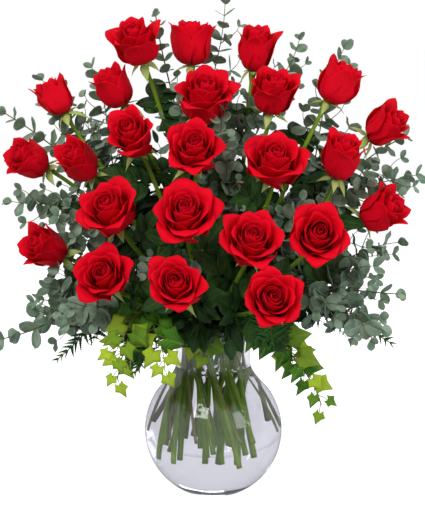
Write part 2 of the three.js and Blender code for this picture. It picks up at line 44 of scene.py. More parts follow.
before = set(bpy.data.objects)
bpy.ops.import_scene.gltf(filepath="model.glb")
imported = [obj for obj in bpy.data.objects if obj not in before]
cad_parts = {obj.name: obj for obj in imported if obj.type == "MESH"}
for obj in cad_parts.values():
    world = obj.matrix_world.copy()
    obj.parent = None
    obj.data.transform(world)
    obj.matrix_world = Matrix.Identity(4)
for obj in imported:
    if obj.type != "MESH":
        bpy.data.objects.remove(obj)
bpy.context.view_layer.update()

MM = 0.001
BODY = "root"
ROSES = sorted(name[: -len("_bloom")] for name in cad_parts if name.endswith("_bloom"))

# ---- Sizes that the frame doesn't give, in millimetres ----

PETAL_THICK = 0.5
PETAL_ACROSS = 15  # points of a petal's grid, side to side
PETAL_ALONG = 14  # and foot to edge
GOLDEN_ANGLE = 137.508
BLOOM_SPREAD = 1.08  # of the petals' reach against the radius of the frame's bloom

MOUTH = Vector((0, 0, 194))  # the point that all the shoots fan out from
SPRIG_RING = 40  # foliage stems pass the neck at this radius
SPREAD = 0.0028  # of the stems below the neck, for each millimetre down
TWIST = 0.011
SPRIG_CUT = 98  # the cut ends are this far below the neck
SPRIG_STEM = 1.9  # radius
LOWEST_FORK = 0.26  # the share of a foliage stem below which nothing forks
ROSE_STEM = 3.2  # radius
STEM_SIDES = 5  # of the frame's rose stems
STEM_STEP = 3.5  # between the cuts that find a rose stem's middle
HIP_SWELL = 3.6  # what the hip under a bloom adds to its stem's radius
HIP_DEPTH = 3  # from the bloom down to the widest place
HIP_LENGTH = 6.5
STEM_TAPER = 0.16  # share of its radius that a rose stem loses by its bloom
SEPALS = 5
THORNS = 7
LEAF_STALK = 30  # of a rose leaf, to its end leaflet
LEAFLET_PAIRS = ((27, 0.85), (13, 0.7))  # places on the stalk, and sizes against the end leaflet's

BULB_RADIUS = 90
BULB_CENTRE = 82.5
SHOULDER_ANGLE = 30  # degrees above the bulb's middle where the shoulder leaves it
NECK_RADIUS = 48
NECK_HEIGHT = 176
RIM_RADIUS = 60
RIM_HEIGHT = 232
WALL_BEND = 22  # how far the wall's curves run straight on either side of a join
GLASS = 3.5  # wall thickness
FLOOR = 12  # top of the thick glass bottom
WATER_LEVEL = 166
WATER_INTO_GLASS = 0.15  # the water reaches into the wall, so that no air shows between them
VASE_SEGMENTS = 112

# The cut stems of foliage: each has its bearing at the neck, how far it rises before it bends, its
# kind, and the size and spacing of its leaves. Its shoots are (fan, lean, reach, climb, share). The
# first three give the tip from the mouth of the vase, and climb is its angle above level. The first
# shoot is the stem itself, bare up to its share, and the others fork from it at theirs.
SPRIGS = {
    "eucalyptus_left_low": {
        "bearing": 212, "rise": 180, "kind": "silver_dollar", "size": 37, "gap": 19,
        "shoots": (
            (-87, 8, 274, -8, 0.42), (-69, 10, 228, 12, 0.5), (-76, 30, 215, -20, 0.45),
            (-80, 0, 230, 5, 0.5),
        ),
    },
    "eucalyptus_left": {
        "bearing": 180, "rise": 110, "kind": "silver_dollar", "size": 30, "gap": 14,
        "shoots": (
            (-42, -3, 407, 30, 0.36), (-54, 2, 322, 10, 0.4), (-24, -9, 399, 60, 0.4),
            (-33, -5, 412, 45, 0.45), (-48, 14, 272, 25, 0.3), (-30, -3, 335, 55, 0.35),
            (-62, 4, 262, 5, 0.35), (-38, 40, 182, 20, 0.1),
        ),
    },
    "eucalyptus_top": {
        "bearing": 130, "rise": 150, "kind": "silver_dollar", "size": 29, "gap": 14,
        "shoots": (
            (-10, -7, 439, 80, 0.34), (2, -7, 447, 85, 0.4), (16, -9, 418, 75, 0.35),
            (15, 0, 378, 70, 0.35), (2, -2, 350, 85, 0.3), (2, 12, 318, 85, 0.25),
            (-8, 3, 335, 80, 0.3), (-11, 46, 166, 30, 0.1), (4, 18, 262, 80, 0.12),
        ),
    },
    "eucalyptus_right": {
        "bearing": 48, "rise": 120, "kind": "silver_dollar", "size": 31, "gap": 14,
        "shoots": (
            (43, -6, 373, 25, 0.36), (24, -7, 425, 60, 0.4), (50, -2, 345, 12, 0.5),
            (32, -3, 333, 50, 0.35), (43, 5, 290, 30, 0.3), (30, 18, 238, 50, 0.2),
        ),
    },
    "eucalyptus_right_low": {
        "bearing": 10, "rise": 150, "kind": "silver_dollar", "size": 33, "gap": 17,
        "shoots": (
            (72, 14, 253, 0, 0.38), (61, -2, 276, 5, 0.45), (60, 22, 250, 5, 0.5),
            (66, 32, 200, -5, 0.4), (80, 25, 235, -15, 0.5),
        ),
    },
    "salal": {
        "bearing": 95, "rise": 90, "kind": "salal", "size": 60, "gap": 21,
        "shoots": (
            (0, -25, 300, 60, 0.35), (-45, -35, 240, 20, 0.35), (42, -35, 240, 20, 0.35),
            (-22, -12, 300, 50, 0.3), (22, -12, 300, 50, 0.3), (-60, -8, 190, 10, 0.2),
            (60, -8, 190, 10, 0.2), (0, -55, 170, 0, 0.2), (-38, 72, 118, -25, 0.2),
            (36, 74, 120, -30, 0.2), (-30, -15, 240, 40, 0.3), (-24, 0, 228, 60, 0.3),
            (30, -15, 240, 40, 0.3),
        ),
    },
    "fern_left": {
        "bearing": 235, "rise": 175, "kind": "fern", "size": 48, "gap": 7.5,
        "shoots": (
            (-91, 25, 217, -35, 0.42), (-96, 55, 170, -40, 0.4),
        ),
    },
    "fern_right": {
        "bearing": 348, "rise": 160, "kind": "fern", "size": 48, "gap": 7.5,
        "shoots": (
            (86, 20, 240, -30, 0.42), (75, 62, 165, -50, 0.35),
        ),
    },
    "ivy_left": {
        "bearing": 258, "rise": 170, "kind": "ivy", "size": 30, "gap": 10.5,
        "shoots": (
            (-101, 45, 172, -80, 0.5), (-98, 66, 150, -75, 0.5), (-84, 50, 190, -50, 0.5),
            (-70, 82, 84, -85, 0.4),
        ),
    },
    "ivy_right": {
        "bearing": 325, "rise": 170, "kind": "ivy", "size": 28, "gap": 10,
        "shoots": (
            (113, 37, 184, -80, 0.5), (98, 45, 160, -70, 0.55),
        ),
    },
}

# The rose stems' leaves, at twelfths of the stem from its cut end. They turn around it by radians,
# as the thorns do.
ROSE_LEAF_PLACES = (6, 7, 8, 9, 10)
LEAF_TURN = 2.4


# ---- Curves ----


def turned(tilt, face):
    """A direction tilt degrees to the right of upright and face degrees towards the viewer."""
    t, f = math.radians(tilt), math.radians(face)
    return Vector((math.sin(t) * math.cos(f), -math.sin(f), math.cos(t) * math.cos(f)))


def below_neck(at_neck, depth):
    grow, turn = 1 + SPREAD * depth, TWIST * depth
    x, y = at_neck.x * grow - at_neck.y * turn, at_neck.y * grow + at_neck.x * turn
    return Vector((x, y, NECK_HEIGHT - depth))


def cubic(a, b, c, d, count):
    points = []
    for i in range(count):
        t = i / (count - 1)
        s = 1 - t
        points.append(a * s**3 + b * (3 * s * s * t) + c * (3 * s * t * t) + d * t**3)
    return points


def spaced(points, count):
    """The polyline's points again, at even distances along it."""
    p = np.array([tuple(v) for v in points], float)
    steps = np.linalg.norm(np.diff(p, axis=0), axis=1)
    along = np.concatenate([[0], np.cumsum(steps)])
    want = np.linspace(0, along[-1], count)
    return [Vector([np.interp(w, along, p[:, k]) for k in range(3)]) for w in want]


def rounded(points, per_span=6):
    """A smooth curve through the points."""
    ends = [points[0] * 2 - points[1], *points, points[-1] * 2 - points[-2]]
    out = []
    for a, b, c, d in zip(ends, ends[1:], ends[2:], ends[3:]):
        for i in range(per_span):
            t = i / per_span
            bend = (a * 2 - b * 5 + c * 4 - d) * t * t + (b * 3 - a - c * 3 + d) * t**3
            out.append(0.5 * (b * 2 + (c - a) * t + bend))
    return [*out, points[-1]]


def length_of(points):
    return sum((b - a).length for a, b in zip(points, points[1:]))


def at_share(points, share):
    """(place, direction) at a share of the polyline's length."""
    left = share * length_of(points)
    for a, b in zip(points, points[1:]):
        step = (b - a).length
        if left <= step or b is points[-1]:
            return a.lerp(b, min(1, left / step)), (b - a).normalized()
        left -= step


def sprig_lines(sprig):
    """One polyline for each shoot of a sprig, in millimetres."""
    angle = math.radians(sprig["bearing"])
    at_neck = Vector((SPRIG_RING * math.cos(angle), SPRIG_RING * math.sin(angle), NECK_HEIGHT))
    lines = []
    for fan, lean, reach, climb, share in sprig["shoots"]:
        tip = turned(fan, lean) * reach + MOUTH
        out = Vector((tip.x, tip.y, 0)).normalized() * math.cos(math.radians(climb))
        heading = out + Vector((0, 0, math.sin(math.radians(climb))))
        if lines:
            start, direction = at_share(lines[0], LOWEST_FORK + (1 - LOWEST_FORK) * share)
            third = (tip - start).length / 3
            lines.append(cubic(start, start + direction * third, tip - heading * third, tip, 22))
            continue
        along = (at_neck - below_neck(at_neck, 1)).normalized()
        run = 0.35 * (tip - at_neck).length
        bend = cubic(at_neck, at_neck + along * sprig["rise"], tip - heading * run, tip, 34)
        lines.append([below_neck(at_neck, SPRIG_CUT), below_neck(at_neck, SPRIG_CUT / 2), *bend])
    return lines


# ---- Meshes ----


def linked(name, data):
    thing = bpy.data.objects.new(name, data)
    bpy.context.scene.collection.objects.link(thing)
    return thing


def finish_piece(name, mesh, material, slot, *nodes):
    """Links the mesh as a piece that rides on the arrangement and stands for the CAD nodes."""
    piece = linked(name, mesh)
    if not mesh.materials:
        mesh.materials.append(material)
    mesh.shade_smooth()
    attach(piece, BODY)
    if nodes:
        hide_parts(*nodes)
    return piece


def mesh_from(name, places, faces, uvs=None, values=None):
    """A mesh in metres from places in millimetres, one UV for each place, and float attributes."""
    mesh = bpy.data.meshes.new(name)
    mesh.from_pydata((np.asarray(places, float) * MM).tolist(), [], faces)
    if uvs is not None:
        layer = mesh.uv_layers.new(name="UVMap")
        corners = np.empty(len(mesh.loops), np.int32)
        mesh.loops.foreach_get("vertex_index", corners)
        layer.data.foreach_set("uv", np.asarray(uvs, np.float32)[corners].ravel())
    for key, numbers in (values or {}).items():
        attribute = mesh.attributes.new(key, "FLOAT", "POINT")
        attribute.data.foreach_set("value", np.asarray(numbers, np.float32))
    mesh.update()
    return mesh


def sheet_shell(points, thick):
    """(places, faces, uvs) of a closed thin shell on a grid of points (across, along, 3)."""
    across, along, _ = points.shape
    normal = np.cross(np.gradient(points, axis=0), np.gradient(points, axis=1))
    normal /= np.linalg.norm(normal, axis=-1, keepdims=True) + 1e-9
    count = across * along
    offset = normal * thick / 2
    places = np.concatenate([(points + offset).reshape(-1, 3), (points - offset).reshape(-1, 3)])
    index = np.arange(count).reshape(across, along)
    quads = np.stack([index[:-1, :-1], index[1:, :-1], index[1:, 1:], index[:-1, 1:]], -1)
    quads = quads.reshape(-1, 4)
    edge = [*index[:, 0], *index[-1, 1:], *index[-2::-1, -1], *index[0, -2:0:-1]]
    rim = [[b, a, a + count, b + count] for a, b in zip(edge, edge[1:] + edge[:1])]
    faces = quads.tolist() + (quads[:, ::-1] + count).tolist() + [[int(i) for i in f] for f in rim]
    u, v = np.meshgrid(np.linspace(0, 1, across), np.linspace(0, 1, along), indexing="ij")
    uvs = np.tile(np.stack([u.ravel(), v.ravel()], -1), (2, 1))
    return places, faces, uvs


def joined(shells):
    """One (places, faces, uvs) from many."""
    faces, start = [], 0
    for places, own, _ in shells:
        faces += [[i + start for i in face] for face in own]
        start += len(places)
    places, _, uvs = zip(*shells)
    return np.concatenate(places), faces, np.concatenate(uvs)


def tube_shell(points, radii, sides):
    """A closed tube along the points, with a radius at each. UV runs round it and along it."""
    count = len(points)
    ends = [points[0], *points, points[-1]]
    tangents = [(after - before).normalized() for before, after in zip(ends, ends[2:])]
    side = tangents[0].orthogonal().normalized()
    places, uvs = [], []
    for i, (centre, tangent, radius) in enumerate(zip(points, tangents, radii)):
        side = (side - tangent * side.dot(tangent)).normalized()
        other = tangent.cross(side)
        for k in range(sides):
            a = 2 * math.pi * k / sides
            places.append(centre + (side * math.cos(a) + other * math.sin(a)) * radius)
            uvs.append((k / sides, i / (count - 1)))
    faces = []
    for i in range(count - 1):
        for k in range(sides):
            a, b = i * sides + k, i * sides + (k + 1) % sides
            faces.append([a, b, b + sides, a + sides])
    faces.append(list(range(sides))[::-1])
    faces.append([(count - 1) * sides + k for k in range(sides)])
    return np.array([tuple(p) for p in places]), faces, np.array(uvs)


def lathe_shell(profile, segments):
    """A closed turned solid from (radius, height) points that start and end on the axis."""
    inner = profile[1:-1]
    places = [(0, 0, profile[0][1]), (0, 0, profile[-1][1])]
    for k in range(segments):
        a = 2 * math.pi * k / segments
        places += [(r * math.cos(a), r * math.sin(a), z) for r, z in inner]
    size = len(inner)
    faces = []
    for k in range(segments):
        a, b = 2 + k * size, 2 + ((k + 1) % segments) * size
        faces.append([0, b, a])
        faces.append([1, a + size - 1, b + size - 1])
        faces += [[a + i, b + i, b + i + 1, a + i + 1] for i in range(size - 1)]
    uvs = np.array([(math.atan2(y, x) / (2 * math.pi) + 0.5, z / 250) for x, y, z in places])
    return np.array(places, float), faces, uvs


def smoothstep(low, high, x):
    t = np.clip((x - low) / (high - low), 0, 1)
    return t * t * (3 - 2 * t)


# ---- What the frame says about a rose ----


def unique_places(node):
    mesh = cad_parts[node].data
    places = np.empty(len(mesh.vertices) * 3)
    mesh.vertices.foreach_get("co", places)
    return np.unique(np.round(places.reshape(-1, 3) / MM, 3), axis=0)


def stem_line(node, base):
    """The middle line of the CAD stem from its cut end to near its bloom, by cutting it across."""
    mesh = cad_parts[node].data
    mesh.calc_loop_triangles()
    corners = [[mesh.vertices[i].co for i in t.vertices] for t in mesh.loop_triangles]
    corners = np.array(corners) / MM
    ends = np.unique(np.round(corners.reshape(-1, 3), 2), axis=0)
    ends = ends[ends[:, 2].argsort()][:STEM_SIDES]
    here = ends.mean(axis=0)
    ahead = np.cross(ends[1] - ends[0], ends[2] - ends[0])
    ahead *= np.sign(ahead[2]) / np.linalg.norm(ahead)
    line = [here + ahead * 0.2]
    while np.linalg.norm(line[-1] - np.array(base)) > 20 and len(line) < 240:
        aim = line[-1] + ahead * STEM_STEP
        height = (corners - aim) @ ahead
        is_cut = (height.min(axis=1) < 0) & (height.max(axis=1) > 0)
        crossings = []
        for triangle, h in zip(corners[is_cut], height[is_cut]):
            edges = [(a, b) for a, b in ((0, 1), (1, 2), (2, 0)) if h[a] * h[b] < 0]
            if len(edges) == 2:
                pair = [
                    triangle[a] + (triangle[b] - triangle[a]) * h[a] / (h[a] - h[b])
                    for a, b in edges
                ]
                if max(np.linalg.norm(point - aim) for point in pair) < ROSE_STEM + 3:
                    crossings.append(pair)
        pairs = np.array(crossings)
        weight = np.linalg.norm(pairs[:, 0] - pairs[:, 1], axis=1)
        middle = (pairs.mean(axis=1) * weight[:, None]).sum(axis=0) / weight.sum()
        step = middle - line[-1]
        ahead = ahead * 0.4 + step / np.linalg.norm(step) * 0.6
        ahead /= np.linalg.norm(ahead)
        line.append(middle)
    return [Vector(point) for point in line]


def rose_facts(rose):
    """Where a rose's bloom sits, its size, how open it is, and its stem's line."""
    bloom = unique_places(rose + "_bloom")
    stem = unique_places(rose + "_stem")
    centre = bloom.mean(axis=0)
    spreads, ways = np.linalg.eigh(np.cov((bloom - centre).T))
    lone = 2 if spreads[1] - spreads[0] < spreads[2] - spreads[1] else 0
    way = ways[:, lone]
    beside = np.linalg.norm(np.cross(stem - centre, way), axis=1)
    near = np.linalg.norm(stem - centre, axis=1) < 70
    way = -way * np.sign(((stem - centre) @ way)[(beside < 8) & near].mean())
    up = (bloom - centre) @ way
    base = Vector(centre + way * up.min())
    axis = Vector(way)
    height = up.max() - up.min()
    radius = np.sort(np.linalg.norm(np.cross(bloom - centre, way), axis=1))[-10:].mean()
    opening = min(1, max(0, (1.1 - height / (2 * radius)) / 0.52))
    line = stem_line(rose + "_stem", base)
    line = [*line[:-1:6], base - axis * 12, base - axis]
    return {
        "base": base, "axis": axis, "height": height, "radius": radius, "opening": opening,
        "line": rounded(line), "seed": int(rose[-2:]),
    }


# ---- Petals ----


def petal_grid(s, bloom, rng, settings):
    """A petal as a grid of points, s from 0 at the heart of the bloom to 1 on its outside."""
    opening, radius, height = bloom["opening"], bloom["radius"], bloom["height"]
    u = np.linspace(-1, 1, PETAL_ACROSS)[:, None]
    v = np.linspace(0, 1, PETAL_ALONG)[None, :]
    outer = float(smoothstep(0.35, 1.0, s))

    # Up the middle of the petal: a quarter round out to its belly, a straight, and a curl.
    belly = radius * (0.09 + (0.74 - 0.16 * opening) * s**0.9)
    rise = min(0.95 * belly, 0.40 * height) * (1 - 0.25 * outer * opening)
    top_inside = height * (0.90 + 0.07 * math.sin(math.pi * min(1, 1.3 * s)))
    top_outside = height * (0.86 - 0.30 * opening)
    curl_length = height * (0.16 + 0.30 * outer * (0.35 + 0.65 * opening))
    brim = top_inside + (top_outside - top_inside) * float(smoothstep(0.45, 1.0, s))
    brim -= 0.6 * curl_length * (1 - outer)
    quarter = np.linspace(0, math.pi / 2, 24)
    round_r, round_z = belly * np.sin(quarter), rise * (1 - np.cos(quarter))
    arc = np.concatenate([[0], np.cumsum(np.hypot(np.diff(round_r), np.diff(round_z)))])
    straight = max(brim - rise, 0.05 * height)
    length = arc[-1] + straight + curl_length

    # The top edge falls away to the shoulders, with a small point in the middle.
    fall = 0.32 + 0.10 * rng.random()
    top = 1 - fall * np.abs(u) ** (2.4 - 0.7 * outer) + 0.045 * outer * np.exp(-((u / 0.14) ** 2))
    along = v * length * top

    # The curl turns the edge in on the inner petals and out on the outer ones, most at the
    # shoulders.
    lean = math.radians(93 - 6 * outer)
    curl_to = math.radians(100 + (settings.curl - 95 * opening) * outer)
    at_sides = math.radians(55) * outer * opening**0.5
    uneven = math.radians(rng.uniform(-12, 12)) * u + math.radians(rng.uniform(-8, 8))
    bend = (curl_to - at_sides * np.abs(u) ** 2 + uneven - lean) / curl_length
    bend = np.where(np.abs(bend) < 1e-4, 1e-4, bend)
    on_straight = np.clip(along - arc[-1], 0, straight)
    on_curl = np.clip(along - arc[-1] - straight, 0, None)
    angle = lean + bend * on_curl
    r = np.interp(along, arc, round_r) + on_straight * math.cos(lean)
    z = np.interp(along, arc, round_z) + on_straight * math.sin(lean)
    r = r + (np.sin(angle) - math.sin(lean)) / bend
    z = z - (np.cos(angle) - math.cos(lean)) / bend

    # Round the bloom: each petal overlaps its neighbours, one side tucked under and one over.
    widening = 0.30 + 0.70 * smoothstep(0, 0.62, along / length)
    half_width = radius * (0.30 + 0.42 * s**0.7) * widening
    around = np.clip(r, 0.08 * radius, belly * 1.12)
    phi = np.clip(half_width / around, 0, math.radians(150 - 75 * outer)) * u
    r = r + radius * 0.035 * u * smoothstep(0, 0.5, v) * (1 - 0.3 * outer)
    r = r * (1 + 0.55 * outer * (1 / np.cos(np.clip(phi * 0.8, -1.1, 1.1)) - 1))
    ripple = radius * settings.ripple * outer * v**3
    r = r + ripple * np.sin(2.4 * math.pi * u + rng.uniform(0, 6.28))
    z = z + ripple * np.sin(1.7 * math.pi * u + rng.uniform(0, 6.28))

    # The outside petals of an open bloom fall back.
    back = math.radians(rng.uniform(-3, 3) + 14 * outer**3 * opening)
    r, z = r * math.cos(back) + z * math.sin(back), z * math.cos(back) - r * math.sin(back)
    return np.stack([r * np.cos(phi), r * np.sin(phi), z + 0 * phi], -1)


def out_of_round(places, radius, rng):
    """The bloom pushed a little out of round and off its axis, more towards its top."""
    angle = np.arctan2(places[:, 1], places[:, 0])
    high = places[:, 2:] / radius
    swell = 1 + 0.05 * np.sin(2 * angle + rng.uniform(0, 6.28))
    swell = swell + 0.03 * np.sin(3 * angle + rng.uniform(0, 6.28))
    shift = np.array([[rng.uniform(-0.05, 0.05), rng.uniform(-0.05, 0.05), 0]]) * radius * high
    return places * np.stack([swell, swell, np.ones_like(swell)], -1) + shift


def bloom_mesh(rose, bloom, settings):
    rng = random.Random(bloom["seed"])
    count = round(settings.petals * (0.7 + 0.35 * bloom["opening"] + rng.uniform(-0.1, 0.1)))
    start = rng.uniform(0, 360)
    shells, depth = [], []
    for k in range(count):
        s = k / (count - 1)
        grid = petal_grid(s, bloom, rng, settings)
        turn = math.radians(start + k * GOLDEN_ANGLE + rng.uniform(-7, 7))
        c, n = math.cos(turn), math.sin(turn)
        shell = sheet_shell(grid @ np.array([[c, n, 0], [-n, c, 0], [0, 0, 1]]), PETAL_THICK)
        shells.append(shell)
        depth += [s] * len(shell[0])
    places, faces, uvs = joined(shells)
    places = out_of_round(places, bloom["radius"], rng)
    reach = np.sort(np.hypot(places[:, 0], places[:, 1]))[-10:].mean()
    wider = BLOOM_SPREAD * bloom["radius"] / reach
    places *= np.array([wider, wider, bloom["height"] / places[:, 2].max()])
    stand = np.array(Vector((0, 0, 1)).rotation_difference(bloom["axis"]).to_matrix())
    places = places @ stand.T + np.array(bloom["base"])
    return mesh_from(rose + "_petals", places, faces, uvs, {"depth": depth})


# ---- Leaf shapes ----


def leaf_shape(
    name, half_width, bend=0.0, fold=0.0, cup=0.0, wave=0.0, across=5, along=9, thick=0.014
):
    """A leaf one unit long from its stalk at the origin to its tip along +X, with its face up."""
    u = np.linspace(-1, 1, across)[:, None]
    v = np.linspace(0, 1, along)[None, :]
    width = np.array([half_width(t) for t in v[0]])[None, :]
    x = v + 0 * u
    y = u * width
    z = fold * np.abs(y) - cup * y**2 - bend * x**2 + wave * np.sin(9 * v) * u**2
    return unit_mesh(name, sheet_shell(np.stack([x, y, z], -1), thick))


def lobed_shape(name, lobes, bend=0.0, thick=0.02):
    """A leaf with pointed lobes at (angle, reach) from its stalk, on a fan of points."""
    corners = []
    for (a, reach), (b, following) in zip(lobes, lobes[1:]):
        corners += [(a, reach), ((a + b) / 2, 0.84 * min(reach, following))]
    corners.append(lobes[-1])
    v = np.linspace(0.02, 1, 4)
    angle = np.radians([a for a, _ in corners])[:, None]
    reach = np.array([r for _, r in corners])[:, None] * v[None, :]
    x, y = reach * np.cos(angle), reach * np.sin(angle)
    z = 0.22 * np.abs(y) - bend * (x**2 + y**2) - 0.1 * y**2
    return unit_mesh(name, sheet_shell(np.stack([x, y, z], -1), thick))


def unit_mesh(name, shell):
    places, faces, uvs = shell
    mesh = mesh_from(name, places / MM, faces, uvs)
    mesh.shade_smooth()
    return mesh


def ovate(widest, width, point):
    """Half widths of a leaf, widest at a share of its length, with a blunt or sharp point."""

    def half_width(t):
        if t < widest:
            return width * max(0.05, math.sin(0.5 * math.pi * t / widest) ** 0.7)
        return width * max(0.02, math.cos(0.5 * math.pi * (t - widest) / (1 - widest)) ** point)

    return half_width


def notched(width):
    """Half widths of a fern's leaflet, cut into small lobes and tapering to its tip."""

    def half_width(t):
        return max(0.01, width * (1 - t) ** 0.8 * (0.55 + 0.45 * abs(math.cos(7.5 * math.pi * t))))

    return half_width


IVY_WHOLE = [(-138, 0.46), (-72, 0.68), (0, 1.0), (72, 0.68), (138, 0.46)]
IVY_NARROW = [(-128, 0.40), (-58, 0.62), (0, 1.0), (64, 0.66), (132, 0.44)]

# The outlines that each kind of leaf comes in, and how each is bent.
LEAF_SHAPES = {
    "silver_dollar": [
        (ovate(0.52, 0.45, 0.5), {"bend": 0.12, "cup": 0.35, "across": 7}),
        (ovate(0.50, 0.42, 0.55), {"bend": -0.10, "fold": 0.18, "across": 7}),
        (ovate(0.55, 0.46, 0.45), {"bend": 0.22, "wave": 0.05, "across": 7}),
    ],
    "salal": [
        (ovate(0.42, 0.30, 0.9), {"bend": 0.18, "fold": 0.25}),
        (ovate(0.45, 0.28, 0.8), {"bend": 0.30, "fold": 0.15, "wave": 0.06}),
        (ovate(0.40, 0.31, 0.9), {"bend": 0.02, "cup": 0.3}),
    ],
    "rose_leaf": [
        (ovate(0.45, 0.31, 0.85), {"bend": 0.15, "fold": 0.3}),
        (ovate(0.43, 0.29, 0.9), {"bend": 0.28, "fold": 0.2, "wave": 0.05}),
        (ovate(0.47, 0.33, 0.8), {"bend": 0.05, "fold": 0.35}),
    ],
    "fern": [
        (notched(0.26), {"bend": 0.12, "across": 3, "along": 16}),
        (notched(0.20), {"bend": 0.22, "across": 3, "along": 16}),
        (notched(0.21), {"bend": -0.05, "across": 3, "along": 16}),
    ],
    "ivy": [(IVY_WHOLE, {"bend": 0.15}), (IVY_NARROW, {"bend": 0.30}), (IVY_WHOLE, {"bend": 0.02})],
    "sepal": [
        (ovate(0.22, 0.24, 1.2), {"bend": 0.55, "fold": -0.3, "thick": 0.02}),
        (ovate(0.25, 0.21, 1.3), {"bend": 0.95, "fold": -0.3, "thick": 0.02}),
        (ovate(0.24, 0.23, 1.2), {"bend": 0.25, "fold": -0.2, "thick": 0.02}),
    ],
}


def leaf_family(kind):
    """A collection of the shapes that one kind of leaf comes in. Thorns have only one."""
    family = bpy.data.collections.new(kind + "_shapes")
    if kind == "thorn":
        cone = [Vector((x, 0, -0.45 * x * x)) for x in (0, 0.25, 0.55, 0.8, 1)]
        meshes = [unit_mesh("thorn_a", tube_shell(cone, [0.42, 0.24, 0.13, 0.07, 0.01], 6))]
    else:
        make = lobed_shape if kind == "ivy" else leaf_shape
        forms = zip("abc", LEAF_SHAPES[kind])
        meshes = [make(kind + "_" + letter, outline, **form) for letter, (outline, form) in forms]
    for mesh in meshes:
        family.objects.link(bpy.data.objects.new(mesh.name, mesh))
    return family


# ---- Nodes ----


def node(tree, kind, inputs=None, **settings):
    """A new node with its settings made, and its inputs linked to sockets or given their values."""
    made = tree.nodes.new(kind)
    for key, value in settings.items():
        setattr(made, key, value)
    for key, value in (inputs or {}).items():
        if isinstance(value, bpy.types.NodeSocket):
            tree.links.new(value, made.inputs[key])
        else:
            made.inputs[key].default_value = value
    return made


def math_node(tree, operation, *values, clamp=False):
    inputs = dict(enumerate(values))
    return node(tree, "ShaderNodeMath", inputs, operation=operation, use_clamp=clamp).outputs[0]


def rgba(colour):
    return (*colour[:3], 1)


# ---- Leaves by Geometry Nodes ----


def add_mark(marks, place, out, face, size, share=0.5):
    """A place for a leaf: where its stalk is, the way it points, the way it faces, its size and its
    share of the way up its shoot."""
    marks.append((place * MM, out.normalized(), face.normalized(), size * MM, share))


def marks_tree():
    """The tree that sets one of a family of shapes on each mark, turned to its directions."""
    tree = bpy.data.node_groups.new("Shapes on marks", "GeometryNodeTree")
    for name, kind, value in (
        ("Marks", "Geometry", None), ("Shapes", "Collection", None), ("Size", "Float", 1.0),
        ("Uneven sizes", "Float", 0.12), ("Seed", "Int", 0), ("Finish", "Material", None),
    ):
        socket = tree.interface.new_socket(name, in_out="INPUT", socket_type="NodeSocket" + kind)
        if value is not None:
            socket.default_value = value
    tree.interface.new_socket("Leaves", in_out="OUTPUT", socket_type="NodeSocketGeometry")
    given = tree.nodes.new("NodeGroupInput").outputs

    def named(name, kind):
        made = node(tree, "GeometryNodeInputNamedAttribute", {"Name": name}, data_type=kind)
        return made.outputs["Attribute"]

    def chance(low, high, shift):
        seed = node(tree, "FunctionNodeIntegerMath", {0: given["Seed"], 1: shift}, operation="ADD")
        limits = {"Seed": seed.outputs[0], "Min": low, "Max": high}
        return node(tree, "FunctionNodeRandomValue", limits, data_type="FLOAT").outputs["Value"]

    def aligned(axis, vector, **settings):
        inputs = {"Vector": named(vector, "FLOAT_VECTOR"), **settings.pop("start", {})}
        made = node(tree, "FunctionNodeAlignRotationToVector", inputs, axis=axis, **settings)
        return made.outputs["Rotation"]

    point = aligned("X", "out")
    face = aligned("Z", "face", start={"Rotation": point}, pivot_axis="X")
    vary = math_node(tree, "MULTIPLY_ADD", chance(-1.0, 1.0, 0), given["Uneven sizes"], 1.0)
    size = math_node(tree, "MULTIPLY", vary, named("size", "FLOAT"))
    size = math_node(tree, "MULTIPLY", size, given["Size"])
    shapes = node(
        tree, "GeometryNodeCollectionInfo",
        {"Collection": given["Shapes"], "Separate Children": True, "Reset Children": True},
    )
    limits = {"Min": 0, "Max": 2, "Seed": given["Seed"]}
    pick = node(tree, "FunctionNodeRandomValue", limits, data_type="INT")
    placed = node(
        tree, "GeometryNodeInstanceOnPoints",
        {
            "Points": given["Marks"], "Instance": shapes.outputs["Instances"],
            "Pick Instance": True, "Instance Index": pick.outputs["Value"],
            "Rotation": face, "Scale": size,
        },
    )
    toned = node(
        tree, "GeometryNodeStoreNamedAttribute",
        {"Geometry": placed.outputs["Instances"], "Name": "tone", "Value": chance(0.0, 1.0, 7)},
        data_type="FLOAT", domain="INSTANCE",
    )
    real = node(tree, "GeometryNodeRealizeInstances", {"Geometry": toned.outputs["Geometry"]})
    painted = node(
        tree, "GeometryNodeSetMaterial",
        {"Geometry": real.outputs["Geometry"], "Material": given["Finish"]},
    )
    node(tree, "NodeGroupOutput", {"Leaves": painted.outputs["Geometry"]})
    return tree


